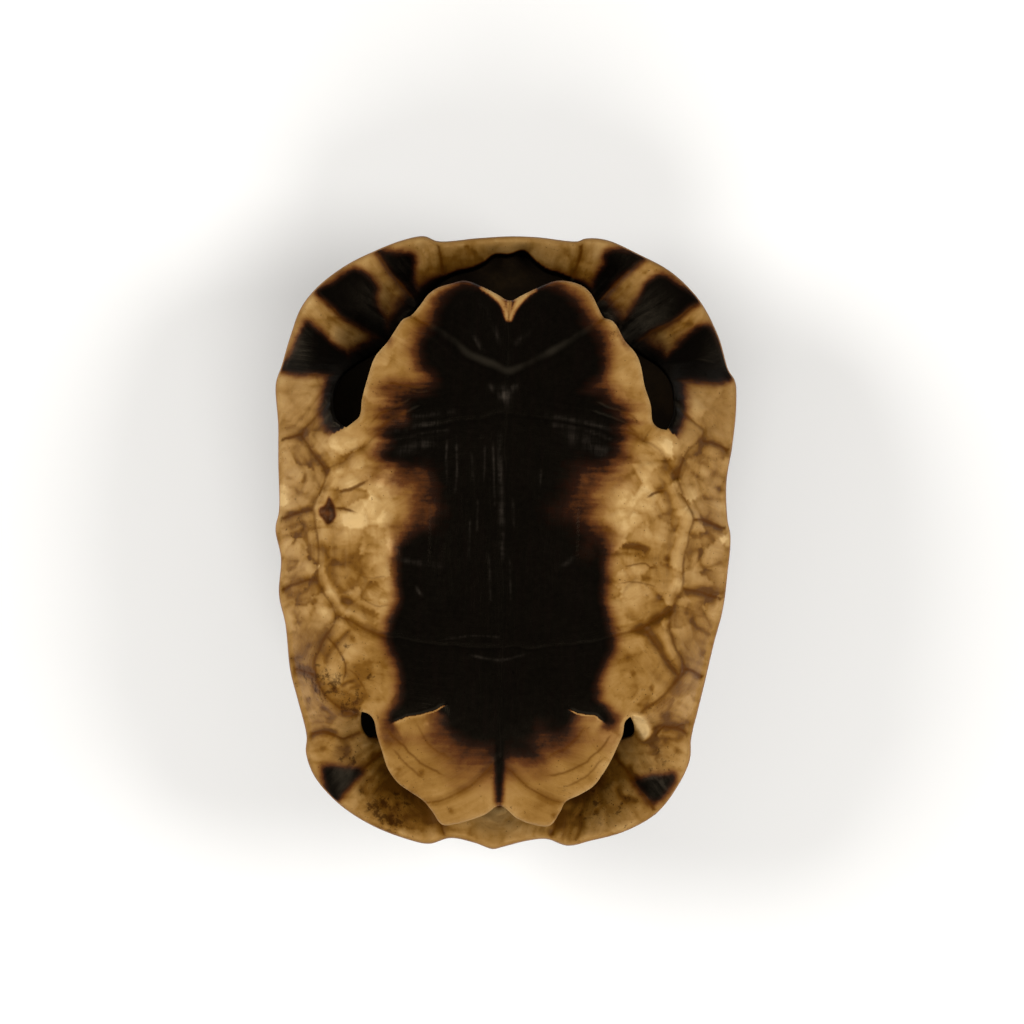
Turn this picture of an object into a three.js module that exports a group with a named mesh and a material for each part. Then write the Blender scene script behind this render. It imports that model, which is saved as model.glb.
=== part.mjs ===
// A dry tortoise shell: one hollow piece of bone and horn, lying on its back.
// Units are millimetres. +Y is the head end, +Z is up, out through the plastron (the belly plate).
// z = 0 is the worn flat on the crown of the dome, which the shell rests on.
//
// The shell is built as columns, one every few degrees around an upright axis through the crown.
// Each column runs along the outside from the crown over the dome, rim and bridge to the middle of
// the plastron, and back along the inside. Between the columns of an opening the bridge is missing,
// so the rim and the plastron each end in an edge of their own.
import * as THREE from 'three';

// ---------------------------------------------------------------- driving dimensions
const PLASTRON_HEIGHT = 110; // from the crown flat to the highest part of the plastron
const PLASTRON_HOLLOW = 4; // how far the middle of the plastron is sunk
const LOBE_DROP_FRONT = 5; // how far the plastron's front lobe dips towards the dome
const LOBE_DROP_REAR = 6; // the same for the hind lobe
const BRIDGE_DROP = 3; // how far the plastron falls away towards the bridges
const HOLLOW_REACH = [42, 62]; // how far the hollow spreads, across and along
const FRONT_LOBE_REACH = [45, 112]; // along: where the front lobe begins to dip and where it ends
const REAR_LOBE_REACH = [60, 120]; // the same for the hind lobe, measured towards the tail
const BRIDGE_REACH = [60, 82]; // across: where the plastron begins to fall away and where it ends
const DOME_WALL = 4; // bone and horn of the dome
const PLASTRON_WALL = 5; // bone and horn of the plastron
const PLASTRON_BEVEL = 0.985; // reach of the plastron's inner edge against its outer edge
const LIP_WALL = 6; // the rim's inner lip, measured downwards
const LIP_LEAN = 3.6; // how far the lip's inner edge stands in from its outer edge
const RIM_BULGE = 2; // how far the rim's underside stands out half way to the lip
const COLUMN_STEP = 3; // degrees between two columns
const OUTLINE_SAMPLES = 720; // points read off each smooth outline
const HORN = 0xb08a4c;

// Outlines seen from below, from the head end round one side to the tail: [across, along].
// The two sides of a real shell differ a little.
const RIM_RIGHT = [
  [0, 130.6], [11, 130.6], [28, 129.2], [40, 130], [55, 124], [68.5, 117], [80.5, 105],
  [89, 90], [93.5, 75.5], [97, 60], [95.5, 44], [93.5, 27.5], [94, 11], [95, 3], [93, -27],
  [89.5, -42], [86, -57], [80.8, -83], [76.5, -100.5], [67, -114], [53, -122], [39.5, -126],
  [28, -127.5], [12, -126.6], [0, -130.3],
];
const RIM_LEFT = [
  [-15, 129.6], [-32, 128], [-47, 128], [-57.5, 123.5], [-70.5, 117], [-82.5, 107],
  [-89, 98], [-93.5, 85.5], [-97, 73], [-99.1, 65], [-97.5, 47.5], [-97, 31], [-97.4, 4],
  [-95.2, -16], [-92.5, -37], [-90, -57], [-86.5, -69], [-82.6, -88], [-79, -101],
  [-68.5, -112.5], [-54.5, -121.5], [-38, -127.3], [-29, -128.5], [-20.5, -126.4], [-8, -128.6],
];
const PLASTRON_RIGHT = [
  [0, 101.5], [10.5, 107], [20, 110.4], [30, 108.5], [37, 100], [43, 94], [48, 86], [55, 76],
  [57.5, 66.5], [60, 58], [61, 50], [67, 46], [70, 35], [72, 10], [72, -15], [68, -40],
  [62, -64], [55.5, -73], [51.5, -78], [48.8, -85.4], [43.2, -96.5], [34, -105.5], [26.5, -112],
  [21.4, -118.8], [7.5, -116.6], [0, -111],
];
const PLASTRON_LEFT = [
  [-13, 107.5], [-19.5, 109.6], [-30.5, 106.3], [-38, 98.6], [-45, 92.6], [-51, 83],
  [-56.4, 76.4], [-59.5, 66.6], [-61.5, 58.5], [-62.5, 51], [-68, 44], [-74, 30], [-76, 8],
  [-76, -15], [-72, -40], [-65, -65], [-57.5, -73.5], [-52.5, -80], [-50, -89], [-43, -102],
  [-32, -109.5], [-24, -119.4], [-12.6, -117.4],
];
const LIP_RIGHT = [
  [0, 122.6], [9.6, 120.7], [21.3, 115], [34, 106], [41, 97], [49, 87.5], [57, 81], [65, 75],
  [69.5, 68], [71, 60], [71, 54], [73, 44], [74, 32], [73, 20], [77, 10], [75.5, -15],
  [71, -32], [71, -45], [70, -56], [58, -74], [47, -82], [41, -92], [34, -100], [26, -107],
  [18, -110], [9, -108], [0, -107],
];
const LIP_LEFT = [
  [-10, 121], [-24, 114.8], [-36.5, 104.7], [-43.5, 96], [-50, 86], [-58, 79.5], [-68, 73.5],
  [-73.5, 67], [-75.5, 59], [-74.5, 50], [-76, 40], [-78, 25], [-80.5, 12], [-78.5, -10],
  [-75, -28], [-75.5, -45], [-74, -58], [-62, -74], [-49, -83], [-43, -92], [-36, -100],
  [-28, -107], [-18, -110], [-9, -108],
];

// Heights against the turn from the head end, in degrees, the same on both sides: [turn, height].
const RIM_HEIGHT = [[0, 68], [30, 70], [50, 76], [70, 86], [95, 88], [125, 84], [150, 80], [180, 86]];
const LIP_HEIGHT = [
  [0, 50], [25, 48], [40, 53], [50, 68], [57, 84], [66, 98], [76, 104], [95, 105], [122, 103],
  [132, 96], [141, 82], [150, 71], [165, 69], [180, 75],
];

// Columns where the front and rear openings begin and end, as turns from the head end.
const FRONT_OPENING = { right: 54, left: 57 };
const REAR_OPENING = { right: 141, left: 141 };

// Dome profiles from the crown flat to the rim: [share of the rim's reach, share of its height].
const PROFILE_FRONT = [
  [0.22, 0], [0.35, 0.03], [0.48, 0.09], [0.61, 0.18], [0.725, 0.31], [0.82, 0.47],
  [0.895, 0.64], [0.95, 0.79], [0.985, 0.92], [1, 0.97], [0.99, 1],
];
const PROFILE_SIDE = [
  [0.27, 0], [0.38, 0.02], [0.51, 0.06], [0.65, 0.13], [0.78, 0.24], [0.88, 0.39],
  [0.945, 0.56], [0.975, 0.74], [0.99, 0.88], [1, 0.96], [0.985, 1],
];
const PROFILE_REAR = [
  [0.25, 0], [0.37, 0.02], [0.5, 0.07], [0.63, 0.15], [0.75, 0.27], [0.85, 0.41],
  [0.92, 0.57], [0.965, 0.74], [0.99, 0.88], [1, 0.96], [0.988, 1],
];
const DOME_WALL_POINTS = 8; // profile points that have an inner wall behind them
// Inner rings of the dome, as shares of the way up from the crown's inside to the lip's inside.
const INNER_SHARES = [0, 0.035, 0.1, 0.2, 0.33, 0.49, 0.66, 0.84, 1];

// ---------------------------------------------------------------- reading the dimensions
const radians = THREE.MathUtils.degToRad;

/** A smooth closed outline through both half outlines, as [angle, reach] pairs sorted by angle. */
function polarOutline(right, left) {
  const corners = [...right, ...left.slice().reverse()];
  const curve = new THREE.CatmullRomCurve3(
    corners.map(([x, y]) => new THREE.Vector3(x, y, 0)), true, 'centripetal',
  );
  return curve.getPoints(OUTLINE_SAMPLES)
    .map((p) => [Math.atan2(p.y, p.x), Math.hypot(p.x, p.y)])
    .sort((a, b) => a[0] - b[0]);
}

/** The reach of a polar outline at an angle, in radians. */
function reachAt(polar, angle) {
  const turned = Math.atan2(Math.sin(angle), Math.cos(angle));
  let next = polar.findIndex(([a]) => a >= turned);
  if (next < 0) next = 0;
  const [a1, r1] = polar[next];
  const [a0, r0] = polar[(next + polar.length - 1) % polar.length];
  const span = a1 - a0;
  const share = span > 0 ? (turned - a0) / span : 0.5;
  return r0 + (r1 - r0) * share;
}

/** The height at a turn from the head end, eased between the listed heights. */
function heightAt(list, turn) {
  const next = Math.max(1, list.findIndex(([t]) => t >= turn));
  const [t0, h0] = list[next - 1];
  const [t1, h1] = list[next];
  return THREE.MathUtils.lerp(h0, h1, THREE.MathUtils.smoothstep(turn, t0, t1));
}

/** The dome profile at a turn: the front, side and rear profiles mixed by how far round it is. */
function profileAt(turn) {
  const ahead = Math.cos(radians(turn));
  const front = Math.max(0, ahead) ** 2;
  const rear = Math.max(0, -ahead) ** 2;
  const side = 1 - front - rear;
  return PROFILE_SIDE.map((point, i) => [0, 1].map(
    (k) => front * PROFILE_FRONT[i][k] + side * point[k] + rear * PROFILE_REAR[i][k],
  ));
}

/** The outer height of the plastron at a place. */
function plastronHeight(x, y) {
  const [across, along] = HOLLOW_REACH;
  const middle = Math.exp(-((x / across) ** 2) - ((y / along) ** 2));
  const front = THREE.MathUtils.smoothstep(y, ...FRONT_LOBE_REACH);
  const rear = THREE.MathUtils.smoothstep(-y, ...REAR_LOBE_REACH);
  const side = THREE.MathUtils.smoothstep(Math.abs(x), ...BRIDGE_REACH);
  return PLASTRON_HEIGHT - PLASTRON_HOLLOW * middle - LOBE_DROP_FRONT * front
    - LOBE_DROP_REAR * rear - BRIDGE_DROP * side;
}

// ---------------------------------------------------------------- one column
const rimOutline = polarOutline(RIM_RIGHT, RIM_LEFT);
const plastronOutline = polarOutline(PLASTRON_RIGHT, PLASTRON_LEFT);
const lipOutline = polarOutline(LIP_RIGHT, LIP_LEFT);

const PLASTRON_SHARES = [0.8, 0.55, 0.28]; // outer plastron rings, as shares of its reach
const PLASTRON_INNER_SHARES = [0.72, 0.4];

/** All the ring points of the column at an angle, in degrees from +X, as { outer, inner }. */
function column(degrees) {
  const angle = radians(degrees);
  const turn = Math.abs(THREE.MathUtils.euclideanModulo(degrees - 90 + 180, 360) - 180);
  const at = (reach, height) => new THREE.Vector3(
    reach * Math.cos(angle), reach * Math.sin(angle), height,
  );
  const rim = reachAt(rimOutline, angle);
  const rimHeight = heightAt(RIM_HEIGHT, turn);
  const lip = reachAt(lipOutline, angle);
  const lipHeight = heightAt(LIP_HEIGHT, turn);
  const edge = reachAt(plastronOutline, angle);
  const profile = profileAt(turn).map(([reach, height]) => [reach * rim, height * rimHeight]);

  const outer = profile.map(([reach, height]) => at(reach, height));
  outer.push(at((rim + lip) / 2, (rimHeight + lipHeight) / 2 + RIM_BULGE));
  outer.push(at(lip, lipHeight));
  for (const share of [1, ...PLASTRON_SHARES]) {
    const p = at(edge * share, 0);
    outer.push(p.setZ(plastronHeight(p.x, p.y)));
  }

  // The inner wall follows the dome from the crown up to just under the lip.
  const lipInside = [lip - LIP_LEAN, lipHeight - LIP_WALL];
  const wall = profile.slice(0, DOME_WALL_POINTS).map(([reach, height], i) => {
    const [r0, h0] = profile[Math.max(0, i - 1)];
    const [r1, h1] = profile[i + 1];
    const length = Math.hypot(r1 - r0, h1 - h0);
    const inward = i === 0 ? 0 : (h1 - h0) / length;
    const upward = i === 0 ? 1 : (r1 - r0) / length;
    return [reach - DOME_WALL * inward, height + DOME_WALL * upward];
  }).filter(([, height]) => height < lipInside[1] - LIP_WALL);
  wall.push(lipInside);
  const inner = INNER_SHARES.map((share) => {
    const height = THREE.MathUtils.lerp(DOME_WALL, lipInside[1], share);
    const next = Math.max(1, wall.findIndex(([, h]) => h >= height));
    const [r0, h0] = wall[next - 1];
    const [r1, h1] = wall[next];
    return [THREE.MathUtils.mapLinear(height, h0, h1, r0, r1), height];
  });
  const innerPoints = inner.map(([reach, height]) => at(reach, height));
  for (const share of [PLASTRON_BEVEL, ...PLASTRON_INNER_SHARES]) {
    const p = at(edge * share, 0);
    innerPoints.push(p.setZ(plastronHeight(p.x, p.y) - PLASTRON_WALL));
  }
  return { outer, inner: innerPoints };
}

// ---------------------------------------------------------------- the closed surface
const OUTER_LIP = PROFILE_SIDE.length + 1; // ring numbers at the edges of the openings
const OUTER_EDGE = OUTER_LIP + 1;
const INNER_LIP = INNER_SHARES.length - 1;
const INNER_EDGE = INNER_LIP + 1;

/** True if the strip from this angle to the next one lies in an opening. */
function isOpen(degrees) {
  const middle = degrees + COLUMN_STEP / 2;
  const turn = Math.abs(THREE.MathUtils.euclideanModulo(middle - 90 + 180, 360) - 180);
  const side = Math.cos(radians(middle)) > 0 ? 'right' : 'left';
  return turn < FRONT_OPENING[side] || turn > REAR_OPENING[side];
}

function makeShell() {
  const positions = [];
  const triangles = [];
  const addPoint = (p) => {
    positions.push(p.x, p.y, p.z);
    return positions.length / 3 - 1;
  };
  const triangle = (a, b, c) => triangles.push(a, b, c);
  const quad = (a, b, c, d) => {
    triangle(a, b, c);
    triangle(a, c, d);
  };

  const crown = addPoint(new THREE.Vector3(0, 0, 0));
  const belly = addPoint(new THREE.Vector3(0, 0, plastronHeight(0, 0)));
  const crownInside = addPoint(new THREE.Vector3(0, 0, DOME_WALL));
  const bellyInside = addPoint(new THREE.Vector3(0, 0, plastronHeight(0, 0) - PLASTRON_WALL));

  const columns = [];
  for (let degrees = 0; degrees < 360; degrees += COLUMN_STEP) {
    const { outer, inner } = column(degrees);
    columns.push({
      outer: outer.map(addPoint), inner: inner.map(addPoint), open: isOpen(degrees),
    });
  }

  columns.forEach((here, i) => {
    const next = columns[(i + 1) % columns.length];
    const before = columns[(i + columns.length - 1) % columns.length];
    const lastOuter = here.outer.length - 1;
    const lastInner = here.inner.length - 1;
    triangle(crown, next.outer[0], here.outer[0]);
    triangle(crownInside, here.inner[0], next.inner[0]);
    triangle(belly, here.outer[lastOuter], next.outer[lastOuter]);
    triangle(bellyInside, next.inner[lastInner], here.inner[lastInner]);
    for (let k = 0; k < lastOuter; k += 1) {
      if (!(here.open && k === OUTER_LIP)) {
        quad(here.outer[k], next.outer[k], next.outer[k + 1], here.outer[k + 1]);
      }
    }
    for (let k = 0; k < lastInner; k += 1) {
      if (!(here.open && k === INNER_LIP)) {
        quad(here.inner[k + 1], next.inner[k + 1], next.inner[k], here.inner[k]);
      }
    }
    if (here.open) {
      quad(here.outer[OUTER_LIP], next.outer[OUTER_LIP], next.inner[INNER_LIP], here.inner[INNER_LIP]);
      quad(
        next.outer[OUTER_EDGE], here.outer[OUTER_EDGE], here.inner[INNER_EDGE], next.inner[INNER_EDGE],
      );
    }
    if (here.open !== before.open) {
      // The cut end of the bridge, in the corner of an opening.
      const end = [
        here.outer[OUTER_LIP], here.outer[OUTER_EDGE], here.inner[INNER_EDGE], here.inner[INNER_LIP],
      ];
      quad(...(here.open ? end.reverse() : end));
    }
  });

  const geometry = new THREE.BufferGeometry();
  geometry.setAttribute('position', new THREE.Float32BufferAttribute(positions, 3));
  geometry.setIndex(triangles);
  geometry.computeVertexNormals();
  return geometry;
}

const shell = new THREE.Mesh(
  makeShell(),
  new THREE.MeshStandardMaterial({ color: HORN, roughness: 0.55, metalness: 0 }),
);
shell.name = 'shell';

// The two sides differ, so the outline is centred on the origin as a whole.
shell.geometry.computeBoundingBox();
const centre = shell.geometry.boundingBox.getCenter(new THREE.Vector3());
shell.position.set(-centre.x, -centre.y, 0);

const group = new THREE.Group();
group.add(shell);
export default group;
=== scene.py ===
"""A dry tortoise shell on its back: its visible surface, its horn and bone, and the studio.

All the outlines are in millimetres on the frame's own axes, before the whole is fitted to the
solid's box: +Y is the head end, +Z is out through the plastron, z = 0 is the crown of the dome.
"""

import math

import bmesh
import bpy
import numpy as np
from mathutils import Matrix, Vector
from mathutils.geometry import delaunay_2d_cdt


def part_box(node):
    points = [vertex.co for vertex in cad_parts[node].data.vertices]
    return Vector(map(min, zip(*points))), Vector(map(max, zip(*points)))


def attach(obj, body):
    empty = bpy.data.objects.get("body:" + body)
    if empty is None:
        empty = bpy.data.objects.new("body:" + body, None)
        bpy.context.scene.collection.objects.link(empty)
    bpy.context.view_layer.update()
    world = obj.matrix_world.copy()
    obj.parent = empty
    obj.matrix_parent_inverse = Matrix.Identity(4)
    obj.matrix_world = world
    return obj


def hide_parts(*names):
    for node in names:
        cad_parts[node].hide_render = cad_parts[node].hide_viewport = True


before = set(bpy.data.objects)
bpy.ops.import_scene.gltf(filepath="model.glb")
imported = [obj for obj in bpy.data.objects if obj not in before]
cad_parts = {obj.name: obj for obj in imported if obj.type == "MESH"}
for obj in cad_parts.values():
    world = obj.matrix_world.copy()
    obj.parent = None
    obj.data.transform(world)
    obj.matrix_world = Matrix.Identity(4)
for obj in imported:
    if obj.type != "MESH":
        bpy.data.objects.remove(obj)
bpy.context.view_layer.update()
box_low, box_high = (np.array(corner) * 1000 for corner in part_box("shell"))
rng = np.random.default_rng(11)

# ------------------------------------------------------------------ outlines
# All the edges run clockwise, seen from the belly: across, along.
RIM = [
    (-37.6, 129.9), (-31.6, 127.9), (-14.6, 129.6), (-1.3, 130.7), (10.6, 130.6), (28.2, 129.2),
    (31.1, 130.4), (40.1, 130.1), (55.2, 123.8), (68.5, 116.8), (80.6, 105), (88.9, 89.7), (93.4, 75.6),
    (96.4, 70.6), (97, 59.9), (95.6, 43.7), (93.3, 27.5), (94.1, 11.4), (95.5, 4.7), (94.6, -10.6),
    (92.9, -26.7), (89.4, -41.7), (86.3, -56.6), (83.6, -68.9), (80.9, -81.6), (80.6, -90.4),
    (76.5, -100.6), (67, -113.8), (53.2, -122), (39.4, -126), (29.3, -128.3), (20.4, -125.6),
    (11.6, -126.6), (1.5, -129.4), (-2.3, -130.3), (-10.3, -127.8), (-20.5, -126.1), (-29.3, -128.8),
    (-38.2, -127.3), (-54.4, -121.5), (-68.6, -112.6), (-79, -101.1), (-82.7, -91.1), (-82.5, -84.4),
    (-86.7, -68.5), (-90, -56.7), (-92.5, -36.8), (-95.4, -24.6), (-94.9, -8.9), (-97.5, 3.3),
    (-96.2, 11.4), (-97, 31.3), (-97.5, 47.5), (-99.1, 65.3), (-97, 72.6), (-93.5, 85.6), (-89.2, 98.1),
    (-82.3, 107.3), (-70.6, 116.7), (-57.6, 123.5), (-46.6, 128),
]
FRONT_LOBE = [
    (-67.8, 46.5), (-65.4, 48.5), (-62.3, 51.4), (-61.4, 58.6), (-59.5, 66.6), (-56.4, 76.4), (-51.1, 83.2),
    (-48.2, 87.9), (-45, 92.6), (-41.7, 94.3), (-38, 98.6), (-34.7, 103.3), (-30.6, 106.3), (-25.2, 108.1),
    (-19.4, 109.5), (-13, 107.5), (-6, 104.2), (-0.3, 101.5), (5, 104), (10.5, 106.8), (20.1, 110.4),
    (29.8, 108.5), (34, 104.8), (36.7, 99.8), (39.3, 95.3), (42.7, 94.1), (44.8, 92), (48.3, 85.8),
    (53, 80.5), (55.2, 75.5), (57.1, 66.7), (59.8, 58.8), (60.9, 51.5), (63.6, 49.2), (66.8, 48.5),
]
BRIDGE_RIGHT = [
    (66.8, 48.5), (71, 44), (72.6, 36), (72.1, 28.6), (74.7, 20.6), (78.7, 11.9), (77.5, 6.4), (75.6, -2.1),
    (74.5, -8.8), (75.1, -15.6), (72.3, -23.6), (69.6, -30), (70.7, -39.7), (75, -49.7), (74.4, -54.4),
    (69.9, -60.8), (62.5, -67.3), (54.1, -72),
]
REAR_LOBE = [
    (54.1, -72), (52, -74.2), (51.2, -79.5), (48.8, -85.4), (46.4, -90.9), (43.2, -96.5), (39.5, -101.6),
    (33.7, -105.5), (27.9, -108.6), (25.5, -113.2), (21.4, -118.8), (14, -118.4), (7.5, -116),
    (0.3, -110.9), (-6, -114.8), (-12.6, -117.4), (-19, -119.2), (-23.9, -119.4), (-28.7, -113.2),
    (-32.1, -109.5), (-37.7, -105.8), (-42.8, -102.2), (-47.1, -96.4), (-49.8, -88.9), (-52.1, -81.8),
    (-53.4, -76), (-55.6, -73.4), (-58.7, -72.4),
]
BRIDGE_LEFT = [
    (-58.7, -72.4), (-65.9, -72), (-72.3, -67.8), (-76.7, -62), (-78.5, -54.8), (-77.4, -48.1),
    (-74.6, -41.3), (-69.8, -33.5), (-71, -30), (-76.6, -21.9), (-78.4, -16.9), (-78.2, -5.5), (-79.8, 7),
    (-80.7, 12.9), (-78.4, 19.7), (-75.7, 27.8), (-77, 34.5), (-74.5, 41), (-67.8, 46.5),
]
# The rim's inner lip at the two openings: across, along, height.
FRONT_LIP = [
    (-67.8, 46.5, 107.5), (-72.6, 49.4, 104), (-74.6, 58, 99), (-72.4, 67.1, 90), (-66.6, 73.6, 78),
    (-56.6, 80.4, 68), (-49.2, 86.6, 62), (-43, 96.4, 58), (-36.8, 104.7, 56), (-30.5, 111.2, 56),
    (-24.1, 114.8, 56), (-16.9, 116.7, 57), (-11.4, 119.4, 58), (-7.2, 122.6, 60), (-1.2, 122.8, 61),
    (5.2, 124.4, 60), (9.6, 120.7, 58), (14.8, 117, 57), (21.3, 115, 56), (27.8, 112.3, 56),
    (33.9, 106.2, 56), (40.1, 97.4, 58), (48.1, 87.7, 62), (55.9, 82, 68), (64.4, 76.2, 78),
    (68.9, 69.6, 90), (70.4, 62, 99), (70, 54, 104), (66.8, 48.5, 107.5),
]
REAR_LIP = [
    (54.1, -72, 105), (56.9, -76.2, 96), (56.8, -80.5, 88), (52, -83, 80), (46.5, -86, 73), (41, -92, 67),
    (34, -100, 65), (26, -105, 68), (18, -108.5, 74), (9, -106.5, 78), (0, -105.5, 79), (-9, -106.5, 78),
    (-18, -108.5, 74), (-26, -105, 68), (-34, -100, 65), (-41, -92, 67), (-47, -86.6, 73), (-52, -84.8, 79),
    (-57.2, -83.8, 86), (-60, -78, 95), (-58.7, -72.4, 105),
]
# As in the solid: the height of the rim's crest by turn from the head end, and the dome's profiles
# as shares of its reach and of that height.
CREST = [(0, 68), (30, 70), (50, 76), (70, 86), (95, 88), (125, 84), (150, 80), (180, 86)]
PROFILES = {
    "front": [(0.22, 0), (0.35, 0.03), (0.48, 0.09), (0.61, 0.18), (0.725, 0.31), (0.82, 0.47),
        (0.895, 0.64), (0.95, 0.79), (0.985, 0.92), (1, 0.97)],
    "side": [(0.27, 0), (0.38, 0.02), (0.51, 0.06), (0.65, 0.13), (0.78, 0.24), (0.88, 0.39), (0.945, 0.56),
        (0.975, 0.74), (0.99, 0.88), (1, 0.97)],
    "rear": [(0.25, 0), (0.37, 0.02), (0.5, 0.07), (0.63, 0.15), (0.75, 0.27), (0.85, 0.41), (0.92, 0.57),
        (0.965, 0.74), (0.99, 0.88), (1, 0.97)],
}

# ------------------------------------------------------------------ seams and marks
# Seams between the horn plates of the belly: (points, groove depth, groove width, darkness).
BELLY_SEAMS = {
    "middle": ([(-0.3, 101.5), (-0.7, 88), (-0.4, 72.1), (-0.9, 60), (-0.4, 53.7), (-1.2, 40), (-0.6, 30.2),
        (-0.2, 12), (-0.8, -7.6), (-0.3, -26), (0.1, -44), (-0.5, -55), (-0.2, -66.3), (-0.6, -80),
        (-0.2, -91.4), (0.1, -110.9)], 0.28, 0.6, 0.8),
    "gular": ([(-42.2, 94.2), (-36.1, 91.5), (-27.7, 87), (-17.4, 79.4), (-7.2, 74.7), (-0.5, 72.1),
        (7, 74.8), (16.1, 80), (26, 86.1), (34.3, 91.8), (39.8, 95)], 0.6, 0.7, 0.8),
    "humeral": ([(-77.6, 28.3), (-72, 30.6), (-67.9, 32), (-64.3, 37.1), (-58.9, 38.9), (-56.8, 41.9),
        (-53.6, 44.9), (-45.2, 46.8), (-28.5, 48.8), (-11.8, 51.7), (-0.5, 53.7), (11.3, 52.3),
        (28.1, 50.1), (43.7, 48.8), (52.1, 47.3), (57.6, 43.6), (62.3, 41.2), (67.4, 35.1),
        (71.6, 28.8)], 0.6, 0.8, 0.55),
    "abdominal": ([(-69.9, -32.4), (-65.6, -33.8), (-61.4, -36.2), (-55, -38.6), (-48.7, -40.5),
        (-34.8, -42.7), (-18, -44), (0, -44), (15.5, -43.3), (32.2, -41.2), (46, -38.4), (53.5, -36.1),
        (59.8, -33.5), (66, -29.6), (69.6, -27.5)], 0.7, 0.8, 0.9),
    "anal_left": ([(-2.7, -92.4), (-4.7, -95.4), (-9.6, -100.6), (-15, -104.5), (-20.4, -107.5),
        (-31, -110.4)], 0.5, 0.7, 0.7),
    "anal_right": ([(-0.2, -90.7), (2.4, -94), (8, -99.3), (14.4, -104.2), (21.6, -107.9),
        (27.6, -109.2)], 0.5, 0.7, 0.7),
    "axillary_right": ([(57.6, 43.8), (58.6, 46.6), (61.5, 50.2)], 0.4, 0.6, 0.5),
    "inguinal_right": ([(58.8, -34.4), (63.7, -40.5), (68, -47.5), (73.6, -54.1)], 0.5, 0.7, 0.7),
    "bridge_left": ([(-76.4, 56.6), (-81.7, 50), (-86.2, 44), (-83.1, 38.1), (-77.9, 31.1), (-75.6, 27.7),
        (-78.4, 19.7), (-80.7, 12.9), (-79.8, 7), (-78.2, -5.5), (-78.4, -16.9), (-76.6, -21.9),
        (-70.5, -31), (-69.6, -33.5), (-74.6, -41.3), (-77.4, -48.1), (-78.5, -54.8), (-76.7, -62),
        (-72.3, -67.8), (-65.9, -72.4), (-60.2, -74)], 0.75, 0.8, 0.8),
    "bridge_right": ([(69.8, 60.6), (76.6, 53.9), (82.8, 49.4), (81.8, 45.6), (76.1, 39.6), (73.2, 33.6),
        (72.1, 28.5), (74.7, 20.6), (78.7, 11.9), (77.5, 6.4), (75.6, -2.1), (74.5, -8.8), (75.1, -15.6),
        (72.3, -23.6), (69.5, -28.7), (70.7, -39.7), (75.6, -49.7), (74.4, -54.4), (69.9, -60.8),
        (62.5, -67.3), (56.5, -72.1)], 0.75, 0.8, 0.8),
}
# Seams between the rim plates, from the crest inwards, head end first.
RIM_SEAMS_LEFT = [
    [(-32.3, 129.5), (-31, 121.5), (-29.2, 114.6)],
    [(-58.2, 124.5), (-54.5, 118.4), (-48.3, 110.9), (-41.6, 103.4)],
    [(-83.4, 106.5), (-76.3, 99.1), (-70.6, 94.1), (-62.3, 90), (-52.4, 84.2)],
    [(-97.9, 70.9), (-86.8, 69.2), (-73, 69)], [(-98, 40.4), (-90.6, 42.5), (-86.2, 44)],
    [(-97.2, 7), (-88.6, 10.3), (-80.9, 12)], [(-96.2, -23.4), (-87.1, -19.3), (-78.2, -17.4)],
    [(-91.4, -55), (-84.6, -56.4), (-78.3, -57.6)],
    [(-84.2, -84.8), (-78.6, -82.5), (-73.5, -81.5), (-66, -84.6), (-59.8, -82)],
    [(-71, -113.2), (-65.3, -106.8), (-59.1, -98.6), (-47.2, -87.6)],
    [(-21.5, -127.6), (-23.3, -123.8), (-26, -106)],
]
RIM_SEAMS_RIGHT = [
    [(29.7, 130.2), (28.4, 121.1), (26.3, 113.2)],
    [(56.9, 123.4), (50.7, 117.3), (43.1, 110.3), (36.8, 102.6)],
    [(81.3, 106.3), (74.1, 99.9), (68.6, 95.5), (60.2, 91.4), (52, 84.4)],
    [(96.4, 73.6), (87.3, 69.6), (79.6, 70.3), (69, 69.7)], [(96, 39), (89.7, 42.7), (82.6, 44.6)],
    [(95.6, 7), (87.1, 10), (78.4, 11.2)], [(93.8, -23), (83.5, -19.2), (75, -18)],
    [(87.2, -56.6), (80, -53.1), (74.4, -51.5)], [(81.4, -81.6), (74.3, -77), (67.9, -76.3), (60.5, -79)],
    [(67, -114.6), (61.3, -105.3), (57.8, -100.7), (46.8, -86.6)],
    [(21.4, -127), (22.6, -122.7), (26, -106)],
]
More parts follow.
